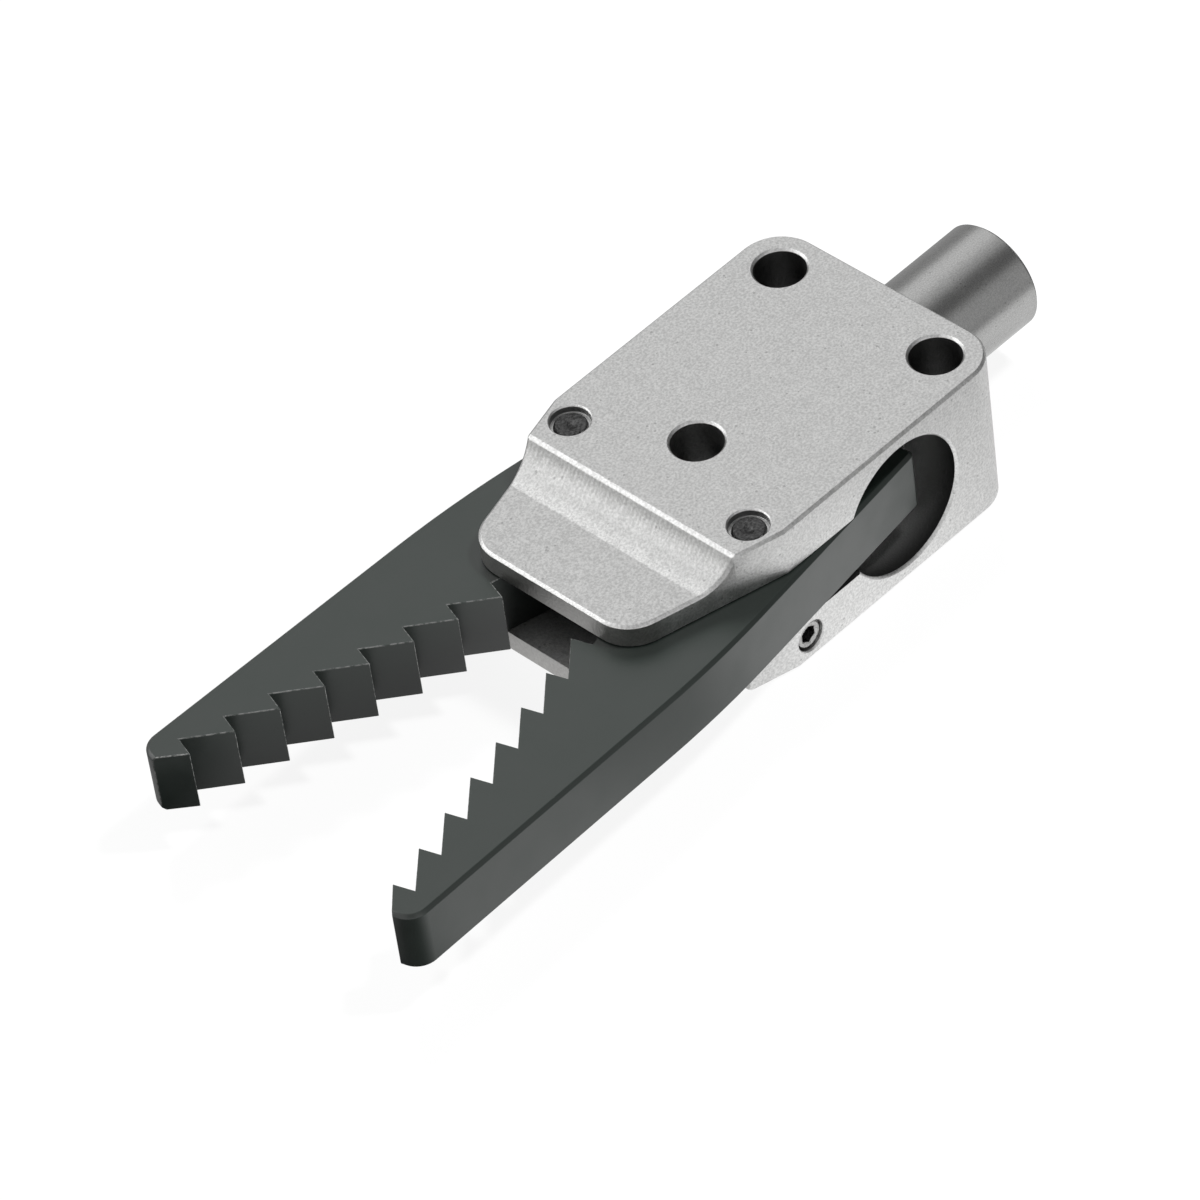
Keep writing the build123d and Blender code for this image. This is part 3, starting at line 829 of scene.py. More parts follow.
    def world(self) -> None:
        """Surrounds the scene with even soft light, a white background and the dark cards."""
        world = bpy.data.worlds.new("studio")
        bpy.context.scene.world = world
        world.use_nodes = True
        graph = Graph(world.node_tree)
        path = graph.node("LightPath").outputs
        seen = graph.math("MAXIMUM", path["Is Camera Ray"], path["Is Glossy Ray"], path["Is Transmission Ray"])
        strength = graph.span(seen, 0.0, 1.0, self.ambient, 1.0)
        way = graph.node("TexCoord").outputs["Generated"]
        for shade in self.shades:
            aim = tuple(Vector(shade.way).normalized())
            near = graph.node("VectorMath", {0: way, 1: aim}, operation="DOT_PRODUCT").outputs["Value"]
            dark = graph.times(graph.span(near, shade.edge, shade.middle, 0.0, shade.depth), path["Is Glossy Ray"])
            strength = graph.times(strength, graph.math("SUBTRACT", 1.0, dark))
        background = world.node_tree.nodes["Background"].inputs
        graph.plug(background["Color"], (*WHITE, 1.0))
        graph.plug(background["Strength"], strength)

    def hang(self, lamp: Lamp) -> None:
        """Hangs a lamp.

        Args:
            lamp: the lamp.
        """
        data = bpy.data.lights.new(lamp.name, "AREA")
        data.shape, data.size, data.energy = "SQUARE", lamp.size * MM, lamp.watts
        made = shown(lamp.name, data)
        made.visible_glossy = lamp.shines
        facing = (Vector(self.lamp_aim) - Vector(lamp.place)).to_track_quat("-Z", "Y").to_matrix().to_4x4()
        made.matrix_world = Matrix.Translation(Vector(lamp.place) * MM) @ facing

    def set_up(self) -> None:
        """Builds the whole studio."""
        bpy.context.scene.view_settings.view_transform = "Standard"
        self.camera()
        self.floor()
        self.world()
        for lamp in self.lamps:
            self.hang(lamp)


# Surfaces


Surface = tuple[np.ndarray, np.ndarray]
COLUMNS = ("along", "radius", "hexagon", "thread", "knurl")


def outline(*corners: tuple[float, ...]) -> np.ndarray:
    """Sets up a profile for turning.

    Args:
        corners: one per corner, with what COLUMNS names; what it leaves off is 0.

    Returns:
        One row per corner.
    """
    return np.array([(*corner, *(0.0,) * (len(COLUMNS) - len(corner))) for corner in corners])


def sleeve(low: float, high: float, inner: float, outer: float, cut: float, lead: float = 0.2) -> np.ndarray:
    """The profile of a plain bush.

    Args:
        low: where it begins along its axis.
        high: where it ends.
        inner: its bore's radius.
        outer: its outer radius.
        cut: the outer chamfers' width.
        lead: the inner chamfers' width.

    Returns:
        One row per corner.
    """
    return outline(
        (low, inner + lead), (low, outer - cut), (low + cut, outer), (high - cut, outer), (high, outer - cut),
        (high, inner + lead), (high - lead, inner), (low + lead, inner),
    )


def eased(share: np.ndarray) -> np.ndarray:
    """A share from 0 to 1, run smoothly at both ends."""
    return share**2 * (3 - 2 * share)


def rounded(corners: np.ndarray, radius: float | np.ndarray, steps: int = 3, closed: bool = True) -> np.ndarray:
    """Rounds the corners of a profile.

    A corner P becomes the curve (1 - t)^2 A + 2 t (1 - t) P + t^2 B, where A and B lie the
    radius before and after P on its two edges, or 45 hundredths of a shorter edge. Columns
    after the first two are carried along in the same way.

    Args:
        corners: one row per corner, its first two columns being its place.
        radius: how far the rounding reaches along the edges, for all or each.
        steps: pieces in each rounded corner.
        closed: whether the last corner joins the first.

    Returns:
        The rounded profile's rows.
    """
    reach, most = np.broadcast_to(np.asarray(radius, float), len(corners)).copy(), 0.45
    if not closed:
        reach[[0, -1]] = 0.0
    ends = []
    for side in (1, -1):
        edge = np.roll(corners, side, axis=0) - corners
        length = np.linalg.norm(edge[:, :2], axis=1)
        ends.append(corners + edge * (np.minimum(reach, most * length) / np.maximum(length, 1e-9))[:, None])
    start, end = ends
    t = np.linspace(0.0, 1.0, steps + 1)[None, :, None]
    curve = (1 - t) ** 2 * start[:, None] + 2 * t * (1 - t) * corners[:, None] + t**2 * end[:, None]
    if closed:
        return curve.reshape(-1, corners.shape[1])
    return np.concatenate([corners[:1], curve[1:-1].reshape(-1, corners.shape[1]), corners[-1:]])


def refined(rows: np.ndarray, spacing: float, closed: bool = True) -> np.ndarray:
    """Adds rows to a profile so that none lie further apart than the spacing.

    Each column is read off straight lines over the length run along the profile.

    Args:
        rows: the profile.
        spacing: the greatest distance, in millimetres.
        closed: whether the last row joins the first.

    Returns:
        The profile with its own rows and the added ones.
    """
    line = np.concatenate([rows, rows[:1]]) if closed else rows
    run = np.concatenate([[0.0], np.cumsum(np.linalg.norm(np.diff(line[:, :2], axis=0), axis=1))])
    places = np.unique(np.round(np.concatenate([run, np.arange(0.0, run[-1], spacing)]), 9))
    made = np.stack([np.interp(places, run, column) for column in line.T], axis=1)
    return made[:-1] if closed else made


def woven(points: np.ndarray, wrap_rows: bool, wrap_columns: bool) -> Surface:
    """Joins a grid of points with quads.

    Args:
        points: the points by row and column.
        wrap_rows: whether the last row joins the first.
        wrap_columns: whether the last column joins the first.

    Returns:
        The points, one per row, and four point numbers per quad.
    """
    rows, columns = points.shape[:2]
    row = np.arange(rows if wrap_rows else rows - 1)[:, None]
    column = np.arange(columns if wrap_columns else columns - 1)[None, :]
    below, beside = (row + 1) % rows, (column + 1) % columns
    quads = [down * columns + over for down, over in ((row, column), (row, beside), (below, beside), (below, column))]
    return points.reshape(-1, 3), np.stack(quads, axis=-1).reshape(-1, 4)


def swung(axis: Axis, centre: Point, along: np.ndarray, radius: np.ndarray, angle: np.ndarray) -> np.ndarray:
    """Points round an axis.

    Args:
        axis: the axis.
        centre: a point on it, in millimetres.
        along: how far each point lies along it from there.
        radius: how far it stands away from it.
        angle: its turn round it, in radians.

    Returns:
        The points by row and column, in millimetres.
    """
    points = np.empty((*radius.shape, 3))
    for part, value in zip(axis.value, (along, radius * np.cos(angle), radius * np.sin(angle))):
        points[..., part] = value + centre[part]
    return points


def turned(
    rows: np.ndarray, axis: Axis, centre: Point, steps: int = 96, closed: bool = True, pitch: float = 1.0,
    ridges: int = 30, flip: int = 1,
) -> Surface:
    """Carries a profile round an axis.

    At the angle a the radius is that of the row, stretched towards a hexagon's
    1 / cos(a mod 60 degrees - 30 degrees) by the row's hexagon share, plus the row's thread
    depth times a triangle wave of (along / pitch - a / 360 degrees), less the row's knurl
    depth times (1 - cos(ridges a)) / 2.

    Args:
        rows: the profile, one row per point, with the columns that COLUMNS names.
        axis: the axis.
        centre: where the axis starts, in millimetres.
        steps: points round the axis.
        closed: whether the profile is a ring; otherwise it starts and ends on the axis.
        pitch: the thread's pitch.
        ridges: ridges of the knurl.
        flip: 1, or -1 to run the profile backwards along the axis.

    Returns:
        The points in millimetres and the faces.
    """
    along, radius, hexagon, thread, knurl = rows.T[:, :, None]
    angle = np.arange(steps)[None, :] * TAU / steps
    sixth = TAU / 6
    stretch = 1.0 / np.cos(np.mod(angle, sixth) - sixth / 2)
    turns = along / pitch - angle / TAU
    tooth = np.abs(2.0 * (turns - np.floor(turns + 0.5)))
    radius = radius * (1.0 + hexagon * (stretch - 1.0)) + thread * tooth - knurl * (1.0 - np.cos(ridges * angle)) / 2
    return woven(swung(axis, centre, flip * along, radius, angle), closed, True)


def split_ring(
    rows: np.ndarray, axis: Axis, centre: Point, gap: float, slant: float = 0.0, lug: float = 0.0, steps: int = 120,
) -> Surface:
    """Carries a profile round an axis and leaves a gap, with an open end on each side of it.

    The angle runs from half the gap to a whole turn less half the gap, and shifts by the
    slant times the place along the axis. Near the gap the inner rows come in by the lug,
    all of it up to 0.30 radians and none of it from 0.55.

    Args:
        rows: the profile; its third column is 1 on rows that a lug moves.
        axis: the axis.
        centre: a point on the axis.
        gap: the gap, in radians.
        slant: the shift of the angle, in radians per millimetre.
        lug: how far the inner rows come in beside the gap.
        steps: points round the ring.

    Returns:
        The points in millimetres and the faces.
    """
    turn = np.linspace(gap / 2, TAU - gap / 2, steps)[None, :]
    along, radius, inner = rows.T[:3, :, None]
    beside = np.minimum(turn - gap / 2, TAU - gap / 2 - turn)
    lug_end, fade = 0.30, 0.25
    near = np.clip(1.0 - (beside - lug_end) / fade, 0.0, 1.0)
    radius = radius - inner * lug * eased(near)
    return woven(swung(axis, centre, along, radius, turn + slant * (along - along.mean())), True, False)


@dataclass(frozen=True)
class Coil:
    """A coil spring of round wire along an axis, with flat end turns.

    The first five lengths are as in the CAD: where it begins and ends, the helix's radius,
    the wire's diameter and the number of turns. Flat is the share of a turn that lies nearly
    flat at each end. Seat and rise are in wire diameters: how far the wire's middle stands in
    from the end, and how far it climbs in a flat turn.
    """

    start: float
    end: float
    radius: float
    wire: float
    turns: float
    flat: float = 0.8
    seat: float = 0.35
    rise: float = 0.25
    taper: float = 60.0
    sides: int = 10
    steps: int = 28

    def surface(self, axis: Axis, centre: Point) -> Surface:
        """Carries the wire's circle along the helix.

        The height climbs evenly between the two flat turns, and what stands beyond the ends
        is ground off flat. The circle lies in the plane of the radius and the axis, tipped by
        the slope of the helix.

        Args:
            axis: the spring's axis.
            centre: a point on the axis.

        Returns:
            The points in millimetres and the faces.
        """
        count = np.linspace(0.0, self.turns, int(self.turns * self.steps) + 1)
        low, high, rise = self.start + self.wire * self.seat, self.end - self.wire * self.seat, self.wire * self.rise
        share = np.clip((count - self.flat) / (self.turns - 2 * self.flat), 0.0, 1.0)
        height = low + rise * np.clip(count / self.flat, 0, 1) + (high - low - 2 * rise) * share
        height = height + rise * np.clip((count - self.turns + self.flat) / self.flat, 0, 1)
        slope = np.arctan2(np.gradient(height, count), TAU * self.radius)[:, None]
        circle = np.arange(self.sides) * TAU / self.sides
        size = (self.wire / 2 * np.clip(np.minimum(count, self.turns - count) * self.taper, 0.0, 1.0))[:, None]
        out, up = size * np.cos(circle)[None, :], size * np.sin(circle)[None, :]
        along = np.clip(height[:, None] + up * np.cos(slope), self.start, self.end)
        angle = (count * TAU)[:, None] - up * np.sin(slope) / self.radius
        return woven(swung(axis, centre, along, self.radius + out, angle), False, True)


# Pieces


@contextmanager
def opened(mesh: bpy.types.Mesh) -> Iterator[bmesh.types.BMesh]:
    """Opens a mesh for work on its edges, and writes it back.

    Args:
        mesh: the mesh.

    Yields:
        Its editable copy.
    """
    work = bmesh.new()
    work.from_mesh(mesh)
    yield work
    work.to_mesh(mesh)
    work.free()


def read(items: Any, name: str, kind: type = int, width: int = 1) -> np.ndarray:
    """Reads one value of every item.

    Args:
        items: the mesh's corners, faces or values.
        name: what is read.
        kind: the numbers' type.
        width: how many numbers each item has.

    Returns:
        One number per item, or one row of numbers.
    """
    values = np.empty(len(items) * width, kind)
    items.foreach_get(name, values)
    return values if width == 1 else values.reshape(-1, width)


@dataclass(frozen=True)
class Workshop:
    """Turns computed surfaces and copied solids into named pieces on their bodies.

    Angles are in degrees: edges up to smooth_to are shaded smoothly, edges over round_from are
    rounded, the solid's own normals part at crease, and faces join up to flat. Wear begins at
    the curvature bend_from and is full at bend_full, per millimetre.
    """

    paints: dict[str, bpy.types.Material]
    slots: dict[str, str]
    bodies: dict[str, str]
    smooth_to: float = 35.0
    round_from: float = 24.0
    crease: float = 3.0
    flat: float = 0.3
    bend_from: float = 1.5
    bend_full: float = 6.0

    def _settle(self, made: bpy.types.Object, node: str) -> bpy.types.Object:
        """Puts a piece in a node's stead.

        Args:
            made: the piece.
            node: the CAD node that it stands for.

        Returns:
            The piece.
        """
        made.data.materials.clear()
        made.data.materials.append(self.paints[self.slots[node]])
        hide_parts(node)
        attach(made, self.bodies[node])
        log.info("%s: %d faces, %s", made.name, len(made.data.polygons), self.slots[node])
        return made

    @staticmethod
    def _paired_loops(mesh: bpy.types.Mesh) -> tuple[np.ndarray, np.ndarray, np.ndarray, np.ndarray]:
        """Finds the two face corners that lie on each edge.

        Args:
            mesh: the mesh.

        Returns:
            The first and the second corner of each shared edge, the edge, and each corner's face.
        """
        edge, total = read(mesh.loops, "edge_index"), read(mesh.polygons, "loop_total")
        face = np.repeat(np.arange(len(total)), total)
        order = np.argsort(edge, kind="stable")
        same = np.nonzero(edge[order][:-1] == edge[order][1:])[0]
        return order[same], order[same + 1], edge[order[same]], face

    def rub(self, mesh: bpy.types.Mesh, chamfers: bool = True) -> None:
        """Marks the faces on convex edges, for the wear in the finishes.

        Between two faces the curvature is the difference of their normals along the line
        between their centres, over that line's length. A face takes its greatest curvature,
        carried smoothly from 0 to 1.

        Args:
            mesh: the mesh, which gets a value named rubbed on its faces.
            chamfers: whether the blunt edges beside a chamfer count too. Their two faces lean
                at odd multiples of 11.25 degrees, those on a square edge at even ones.
        """
        one, other, _, face = self._paired_loops(mesh)
        normal = read(mesh.polygons, "normal", float, 3)
        centre = read(mesh.polygons, "center", float, 3) / MM
        first, second = face[one], face[other]
        apart = centre[first] - centre[second]
        bend = ((normal[first] - normal[second]) * apart).sum(axis=1) / np.maximum((apart**2).sum(axis=1), 1e-6)
        sharpest = np.zeros(len(normal))
        np.maximum.at(sharpest, first, bend)
        np.maximum.at(sharpest, second, bend)
        share = np.clip((sharpest - self.bend_from) / (self.bend_full - self.bend_from), 0.0, 1.0)
        if not chamfers:
            step, spread = 22.5, 0.3
            lean = np.degrees(np.arccos(np.clip(np.abs(normal[:, 2]), 0.0, 1.0))) / step
            share[np.abs(lean % 1.0 - 0.5) < spread] = 0.0
        mark = mesh.attributes.new("rubbed", "FLOAT", "FACE")
        mark.data.foreach_set("value", eased(share).astype(np.float32))

    def _crease(self, mesh: bpy.types.Mesh) -> None:
        """Marks the edges where the solid's own normals part as sharp.

        Args:
            mesh: the merged mesh, with the solid's normals as own_normal on its corners.
        """
        one, other, edge, face = self._paired_loops(mesh)
        own = read(mesh.attributes["own_normal"].data, "vector", np.float32, 3)
        start, total = read(mesh.polygons, "loop_start"), read(mesh.polygons, "loop_total")
        following = start[face] + (np.arange(len(own)) - start[face] + 1) % total[face]
        near = (own[one] * own[following[other]]).sum(axis=1)
        far = (own[following[one]] * own[other]).sum(axis=1)
        sharp = np.zeros(len(mesh.edges), bool)
        sharp[edge] = np.minimum(near, far) < math.cos(math.radians(self.crease))
        mark = mesh.attributes.get("sharp_edge") or mesh.attributes.new("sharp_edge", "BOOLEAN", "EDGE")
        mark.data.foreach_set("value", sharp)

    def fit(self, node: str, name: str, surface: Surface, caps: bool = False, rubbed: bool = True) -> bpy.types.Object:
        """Makes a piece of a computed surface.

        Args:
            node: the CAD node that it stands for.
            name: the piece's name.
            surface: its points, in millimetres, and its faces.
            caps: whether open borders are closed with flat faces.
            rubbed: whether its edges show wear.

        Returns:
            The piece.
        """
        points, faces = surface
        mesh = bpy.data.meshes.new(name)
        mesh.from_pydata((points * MM).tolist(), [], faces.tolist())
        with opened(mesh) as work:
            bmesh.ops.remove_doubles(work, verts=work.verts, dist=1e-7)
            bmesh.ops.dissolve_degenerate(work, edges=work.edges, dist=1e-8)
            if caps:
                bmesh.ops.holes_fill(work, edges=work.edges, sides=0)
            bmesh.ops.recalc_face_normals(work, faces=work.faces)
        mesh.shade_smooth()
        mesh.set_sharp_from_angle(angle=math.radians(self.smooth_to))
        if rubbed:
            self.rub(mesh)
        return self._settle(shown(name, mesh), node)

    def turn(
        self, node: str, name: str, corners: np.ndarray, radius: float | np.ndarray, axis: Axis = Axis.X,
        centre: Point = ORIGIN, cuts: int = 3, spacing: float = 0.0, closed: bool = True, rubbed: bool = True,
        **settings: Any,
    ) -> None:
        """Makes a turned piece of the corners of its profile.

        Args:
            node: the CAD node that it stands for.
            name: the piece's name.
            corners: the profile's corners.
            radius: how far each corner's rounding reaches.
            axis: the piece's axis.
            centre: where the axis starts.
            cuts: pieces in each rounded corner.
            spacing: the greatest distance between rows, or 0 for any.
            closed: whether the profile is a ring.
            rubbed: whether the piece's edges show wear.
            settings: what else turned takes.
        """
        rows = rounded(corners, radius, cuts, closed)
        if spacing:
            rows = refined(rows, spacing, closed)
        self.fit(node, name, turned(rows, axis, centre, closed=closed, **settings), rubbed=rubbed)

    def ease(self, node: str, name: str, width: float, chamfers: bool = True) -> None:
        """Makes a piece of a CAD node's solid, its flats joined and its sharp edges rounded.

        Args:
            node: the CAD node.
            name: the piece's name.
            width: how far the rounding reaches, in millimetres.
            chamfers: whether the edges beside its chamfers show wear.
        """
        mesh = frame["nodes"][node].data.copy()
        mesh.name = name
        own = np.empty(len(mesh.loops) * 3, np.float32)
        mesh.corner_normals.foreach_get("vector", own)
        mesh.attributes.new("own_normal", "FLOAT_VECTOR", "CORNER").data.foreach_set("vector", own)
        if "custom_normal" in mesh.attributes:
            mesh.attributes.remove(mesh.attributes["custom_normal"])
        with opened(mesh) as work:
            bmesh.ops.remove_doubles(work, verts=work.verts, dist=2e-6)
        mesh.shade_smooth()
        self._crease(mesh)
        mesh.attributes.remove(mesh.attributes["own_normal"])
        with opened(mesh) as work:
            bmesh.ops.dissolve_limit(work, angle_limit=math.radians(self.flat), verts=work.verts, edges=work.edges,
                                     delimit={"SHARP"})
            limit = math.radians(self.round_from)
            sharp = [edge for edge in work.edges if not edge.smooth and edge.calc_face_angle(0.0) > limit]
            made = bmesh.ops.bevel(work, geom=sharp, offset=width * MM, offset_type="OFFSET", segments=2, profile=0.5,
                                   affect="EDGES", clamp_overlap=True)
            for edge in made["edges"]:
                edge.smooth = True
        self.rub(mesh, chamfers)
        piece = shown(name, mesh)
        flats = piece.modifiers.new("flat_faces", "WEIGHTED_NORMAL")
        flats.keep_sharp, flats.weight = True, 60
        self._settle(piece, node)


# Sub-assemblies


@dataclass(frozen=True)
class Housing:
    """The milled block with the screws and pins fixed in it."""

    shop: Workshop
    edge: float = 0.06
    pin_radius: float = 2.0
    pin_reach: float = 10.15
    pin_chamfer: float = 0.2
    pin_edge: float = 0.07
    neck_radius: float = 1.75
    neck: tuple[float, float] = (-9.75, -5.35)
    dimple_radius: float = 0.9
    dimple_depth: float = 0.35
    screw_x: float = 34.8
    screw_z: float = -7.55
    screw_face: float = 17.35
    screw_length: float = 6.0
    screw_radius: float = 2.0
    screw_pitch: float = 0.7
    screw_thread: float = 0.3
    socket_half: float = 1.0
    socket_depth: float = 2.2

    def pivot_pin(self, hand: Hand) -> None:
        """Turns a pivot pin with its neck and the drill point in its upper end.

        Args:
            hand: the side.
        """
        radius, reach, chamfer, slim = self.pin_radius, self.pin_reach, self.pin_chamfer, self.neck_radius
        low, high = self.neck
        corners = outline(
            (-reach, 0.0), (-reach, radius - chamfer), (-reach + chamfer, radius), (low, radius), (low + 0.1, slim),
            (high - 0.1, slim), (high, radius), (reach - chamfer, radius), (reach, radius - chamfer),
            (reach, self.dimple_radius), (reach - self.dimple_depth, 0.2), (reach - self.dimple_depth, 0.0),
        )
        soft = np.full(len(corners), self.pin_edge)
        soft[-3:] = self.dimple_depth
        self.shop.turn(f"pivot_pin_{hand.word}", f"turned_pivot_pin_{hand.word}", corners, soft, Axis.Z,
                       hand.place(*PIVOT), cuts=6, closed=False, rubbed=False)

    def set_screw(self, hand: Hand) -> None:
        """Cuts a threaded set screw with a hexagon socket and a chamfered point.

        Args:
            hand: the side.
        """
        face, point, half = self.screw_face, self.screw_face - self.screw_length, self.socket_half
        root, thread = self.screw_radius - self.screw_thread, self.screw_thread
        floor = face - self.socket_depth
        corners = outline(
            (point, 0.0), (point, root - 0.15), (point + 0.35, root), (point + 0.5, root, 0, thread),
            (face - 0.45, root, 0, thread), (face - 0.25, root + 0.12, 0, 0.1), (face, root - 0.08),
            (face, half * 1.28, 0.2), (face - 0.14, half, 1), (floor, half, 1), (floor - 0.2, half * 0.5, 0.4),
            (floor - 0.35, 0.0),
        )
        self.shop.turn(f"set_screw_{hand.word}", f"threaded_set_screw_{hand.word}", corners, 0.05, Axis.Y,
                       (self.screw_x, 0.0, self.screw_z), cuts=2, spacing=0.09, closed=False,
                       pitch=self.screw_pitch, flip=hand.value)

    def build(self) -> None:
        """Eases the block's edges, then builds the pins and screws of both sides."""
        self.shop.ease("housing", "milled_housing", self.edge)
        for hand in Hand:
            self.pivot_pin(hand)
            self.set_screw(hand)


@dataclass(frozen=True)
class AirCylinder:
    """The clamping shank, which is the cylinder, with what is fixed in it."""

    shop: Workshop
    rear: float = -17.05
    radius: float = 7.0
    chamfer: float = 0.4
    spigot_radius: float = 6.0
    spigot_end: float = 8.4
    bore: float = 5.0
    floor: float = -11.5
    port_radius: float = 2.1
    port_chamfer: float = 0.5
    port_thread: float = 0.32
    port_pitch: float = 0.8
    ring: tuple[float, float] = (6.4, 7.2)
    ring_radius: float = 5.4
    ring_inner: float = 4.6
    ring_gap: float = 0.55
    ring_lug: float = 0.6
    bumper_end: float = -10.5
    bumper_bore: float = 2.6
    guide: tuple[float, float] = (3.6, 6.4)
    guide_bore: float = 2.53
    guide_chamfer: float = 0.15
    spring: Coil = Coil(-5.45, 3.55, 3.7, 0.7, 4.5)
    spring_keep: float = 0.53

    def shank(self) -> None:
        """Turns the ground shank with its threaded air port and its ring groove."""
        rear, end, floor, bore = self.rear, self.spigot_end, self.floor, self.bore
        port, mouth, thread = self.port_radius, self.rear + self.port_chamfer, self.port_thread
        low, high = self.ring
        corners = outline(
            (rear, port + self.port_chamfer), (rear, self.radius - self.chamfer), (rear + self.chamfer, self.radius),
            (0.0, self.radius), (0.0, self.spigot_radius), (end, self.spigot_radius), (end, bore), (high, bore),
            (high, self.ring_radius), (low, self.ring_radius), (low, bore), (floor, bore), (floor, port),
            (floor - 0.5, port), (floor - 0.7, port, 0, thread), (mouth + 0.1, port, 0, thread), (mouth, port),
        )
        reach = np.full(len(corners), 0.05)
        reach[3:5] = 0.0
        self.shop.turn("clamp_shank", "ground_shank", corners, reach, spacing=0.13, steps=128, pitch=self.port_pitch)

    def rings(self) -> None:
        """Turns the bumper and the rod guide, and bends the spring ring that holds the guide."""
        corners = outline((self.floor, self.bumper_bore), (self.floor, self.bore), (self.bumper_end, self.bore),
                          (self.bumper_end, self.bumper_bore))
        self.shop.turn("rear_bumper", "rubber_bumper", corners, 0.25, cuts=5)
        corners = sleeve(*self.guide, self.guide_bore, self.bore, self.guide_chamfer)
        self.shop.turn("rod_guide", "bronze_rod_guide", corners, 0.05)
        (low, high), inner, outer = self.ring, self.ring_inner, self.ring_radius
        corners = outline((low, inner, 1), (low, outer), (high, outer), (high, inner, 1))
        surface = split_ring(rounded(corners, 0.06), Axis.X, ORIGIN, gap=self.ring_gap, lug=self.ring_lug)
        self.shop.fit("guide_retaining_ring", "guide_spring_ring", surface, caps=True)

    def return_spring(self) -> None:
        """Winds the return spring on a mesh of its own; in the gripper it shortens towards the rod guide as the piston
        advances, but here it keeps one length.
        """
        made = self.shop.fit("return_spring", "wound_return_spring", self.spring.surface(Axis.X, ORIGIN), caps=True)
        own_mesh(made)

    def build(self) -> None:
        """Builds the shank and what is fixed in it."""
        self.shank()
        self.rings()
        self.return_spring()


@dataclass(frozen=True)
class Piston:
    """The piston with its rings, the rod and the wedge that it drives."""

    shop: Workshop
    rear: float = -10.5
    front: float = -5.5
    radius: float = 4.95
    chamfer: float = 0.2
    ring_radius: float = 4.97
    rear_spigot: float = 1.75
    seal: tuple[float, float] = (-9.9, -8.5)
    seal_floor: float = 4.05
    wear: tuple[float, float] = (-7.4, -6.2)
    wear_floor: float = 4.35
    wear_gap: float = 0.07
    wear_slant: float = 0.2
    rod_radius: float = 2.5
    wedge_rear: float = 11.286
    wedge_edge: float = 0.08
    front_spigot: float = 1.9
    rod_tip: float = 13.886
    rod_thread: float = 0.14
    tapped_radius: float = 1.25
    tapped_depth: float = 6.0
    screw_pitch: float = 0.45
    screw_thread: float = 0.15
    head: tuple[float, float] = (16.09, 18.49)
    head_radius: float = 2.25
    head_knurl: float = 0.08
    screw_end: float = 8.386
    socket_half: float = 1.0
    socket_depth: float = 1.2

    def piston(self) -> None:
        """Turns the piston with its two grooves."""
        rear, front, radius, cut = self.rear, self.front, self.radius, self.chamfer
        grooves = [
            corner for (low, high), floor in ((self.seal, self.seal_floor), (self.wear, self.wear_floor))
            for corner in ((low, radius), (low, floor), (high, floor), (high, radius))
        ]
        corners = outline(
            (rear, self.rear_spigot), (rear, radius - cut), (rear + cut, radius), *grooves, (front - cut, radius),
            (front, radius - cut), (front, self.rear_spigot),
        )
        self.shop.turn("piston", "turned_piston", corners, 0.05)

    def seals(self) -> None:
        """Makes the lip seal and the slit wear ring."""
        (low, high), outer, floor = self.seal, self.ring_radius, self.seal_floor
        corners = outline(
            (low + 0.05, floor), (low + 0.05, outer - 0.25), (low + 0.25, outer), (low + 0.55, outer - 0.12),
            (high - 0.55, outer - 0.12), (high - 0.25, outer), (high - 0.05, outer - 0.25), (high - 0.05, floor),
        )
        self.shop.turn("piston_seal", "lip_seal", corners, 0.12, cuts=4)
        (low, high), floor = self.wear, self.wear_floor
        corners = outline((low, floor), (low, outer), (high, outer), (high, floor))
        surface = split_ring(rounded(corners, 0.06), Axis.X, ORIGIN, gap=self.wear_gap, slant=self.wear_slant)
        self.shop.fit("piston_wear_ring", "slit_wear_ring", surface, caps=True)

    def rod(self) -> None:
        """Turns the rod with its spigots and its tapped end."""
        rear, front, step, tip = self.rear, self.front, self.wedge_rear, self.rod_tip
        tapped, bottom, thread = self.tapped_radius, self.rod_tip - self.tapped_depth, self.rod_thread
        corners = outline(
            (rear, 0.0), (rear, self.rear_spigot), (front, self.rear_spigot), (front, self.rod_radius),
            (step, self.rod_radius), (step, self.front_spigot), (tip, self.front_spigot), (tip, tapped),
            (tip - 0.2, tapped, 0, thread), (bottom + 0.4, tapped, 0, thread), (bottom + 0.2, tapped),
            (bottom, tapped - 0.2), (bottom, 0.0),
        )
        self.shop.turn("piston_rod", "ground_piston_rod", corners, 0.05, spacing=0.1, closed=False,
                       pitch=self.screw_pitch)

    def wedge(self) -> None:
        """Eases the wedge's edges and cuts the knurled screw that holds it."""
        self.shop.ease("spreader_wedge", "hardened_wedge", self.wedge_edge)
        (seat, top), end, half, head = self.head, self.screw_end, self.socket_half, self.head_radius
        shoulder, thread, knurl = self.tapped_radius, self.screw_thread, self.head_knurl
        body, floor = shoulder - thread, top - self.socket_depth
        corners = outline(
            (end, 0.0), (end, body - 0.2), (end + 0.2, body), (end + 0.3, body, 0, thread),
            (seat - 2.0, body, 0, thread), (seat - 1.8, body), (seat - 1.6, shoulder), (seat, shoulder),
            (seat, head - 0.1), (seat + 0.1, head, 0, 0, knurl), (top - 0.3, head, 0, 0, knurl),
            (top - 0.28, head - 0.04), (top, head - 0.3), (top, half * 1.25, 0.2), (top - 0.12, half, 1),
            (floor, half, 1), (floor - 0.3, 0.0),
        )
        self.shop.turn("wedge_screw", "socket_head_screw", corners, 0.04, cuts=2, spacing=0.09, closed=False,
                       steps=180, pitch=self.screw_pitch)

    def build(self) -> None:
        """Builds everything that the air moves."""
        self.piston()
        self.seals()
        self.rod()
        self.wedge()


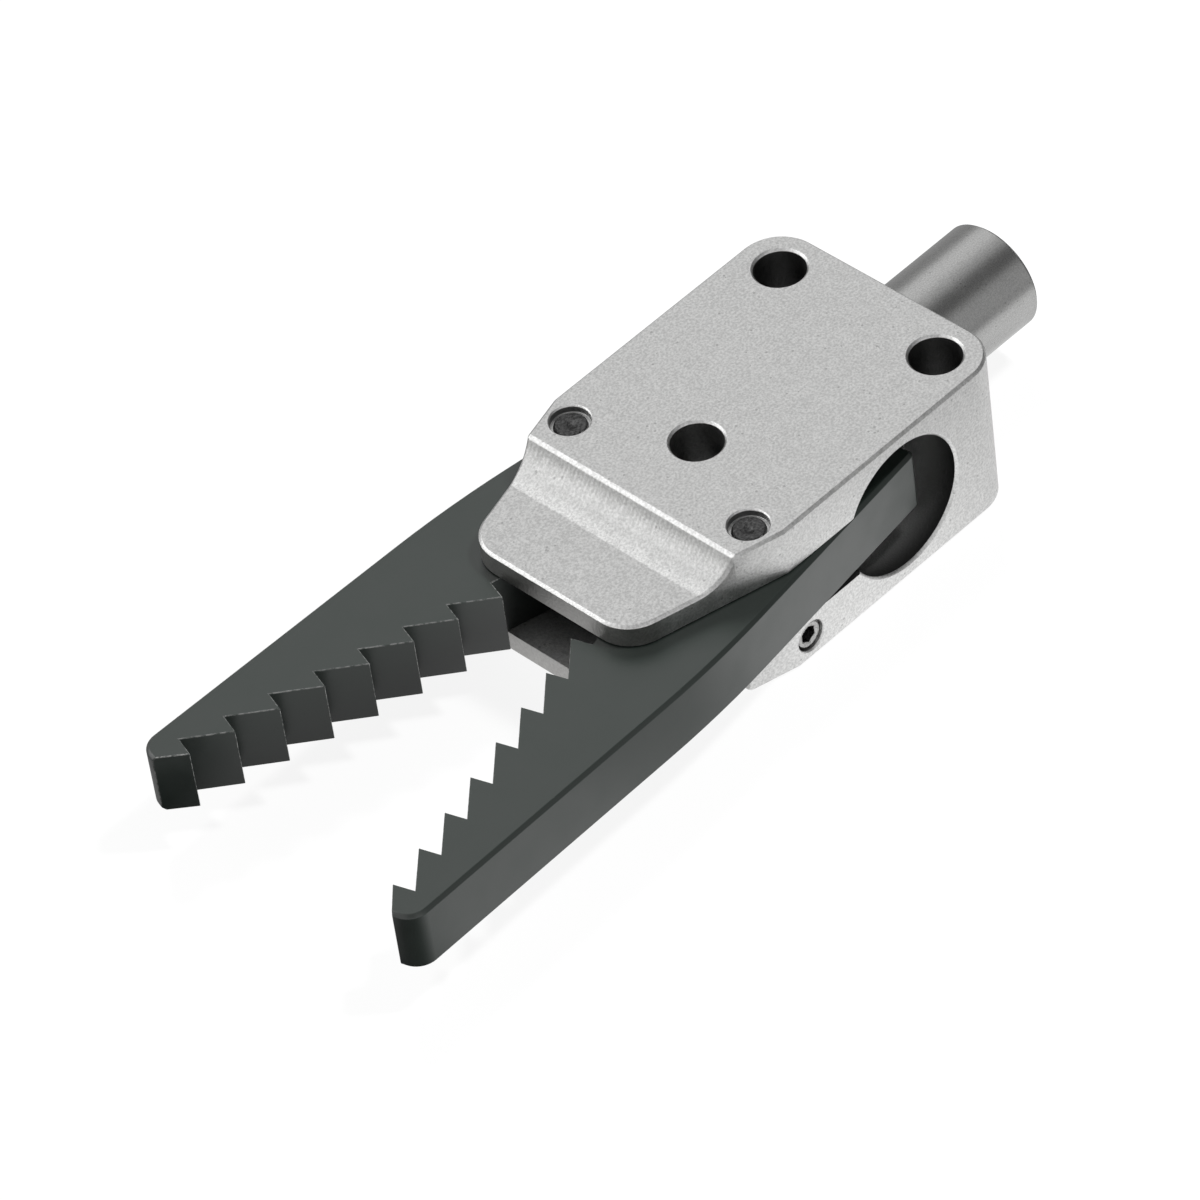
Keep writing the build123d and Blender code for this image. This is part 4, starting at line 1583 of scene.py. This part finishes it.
@dataclass(frozen=True)
class Fingers:
    """The two toothed fingers with what turns with them, and the spring between them."""

    shop: Workshop
    edge: float = 0.12
    half_thickness: float = 4.2
    bush_inner: float = 2.03
    bush_outer: float = 3.0
    bush_chamfer: float = 0.1
    cam: tuple[float, float] = (19.0, 6.5)
    cam_radius: float = 2.0
    cam_reach: float = 4.1
    cam_chamfer: float = 0.25
    spring_x: float = 46.543
    spring: Coil = Coil(-8.924, 8.924, 1.8, 0.6, 10.0)
    spring_keep: float = 0.76

    def finger(self, hand: Hand) -> None:
        """Eases a finger's edges and turns its bush and its cam pin.

        Args:
            hand: the side.
        """
        self.shop.ease(f"finger_{hand.word}", f"toothed_finger_{hand.word}", self.edge, chamfers=False)
        half = self.half_thickness
        corners = sleeve(-half, half, self.bush_inner, self.bush_outer, self.bush_chamfer)
        self.shop.turn(f"pivot_bush_{hand.word}", f"bronze_bush_{hand.word}", corners, 0.04, Axis.Z,
                       hand.place(*PIVOT))
        reach, radius, cut = self.cam_reach, self.cam_radius, self.cam_chamfer
        corners = outline((-reach, 0.0), (-reach, radius - cut), (-reach + cut, radius), (reach - cut, radius),
                          (reach, radius - cut), (reach, 0.0))
        self.shop.turn(f"cam_pin_{hand.word}", f"hardened_cam_pin_{hand.word}", corners, 0.1, Axis.Z,
                       hand.place(*self.cam), cuts=4, closed=False)

    def opening_spring(self) -> None:
        """Winds the opening spring on a mesh of its own; in the gripper it shortens towards the middle as the fingers
        close, but here it keeps one length.
        """
        centre = (self.spring_x, 0.0, 0.0)
        made = self.shop.fit("opening_spring", "wound_opening_spring", self.spring.surface(Axis.Y, centre), caps=True)
        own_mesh(made)

    def build(self) -> None:
        """Builds both fingers and the spring."""
        for hand in Hand:
            self.finger(hand)
        self.opening_spring()


def corners(box: tuple[Vector, Vector]) -> list[list[float]]:
    """A box as plain lists of numbers."""
    return [[float(part) for part in corner] for corner in box]


def main() -> None:
    """Builds the studio and the finishes, then each sub-assembly in order."""
    logging.basicConfig(level=logging.INFO, format="%(name)s: %(message)s")
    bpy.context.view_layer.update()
    Studio().set_up()
    effects = Effects()
    paints = {finish.slot: finish.material(effects) for finish in FINISHES}
    slots = {part["node"]: part["material_slot"] for part in frame["record"]["subparts"]}
    bodies = {node: body for body, nodes in frame["record"]["behaviour"]["bodies"].items() for node in nodes}
    shop = Workshop(paints, slots, bodies)
    for assembly in (Housing(shop), AirCylinder(shop), Piston(shop), Fingers(shop)):
        assembly.build()


if __name__ == "__main__":
    main()
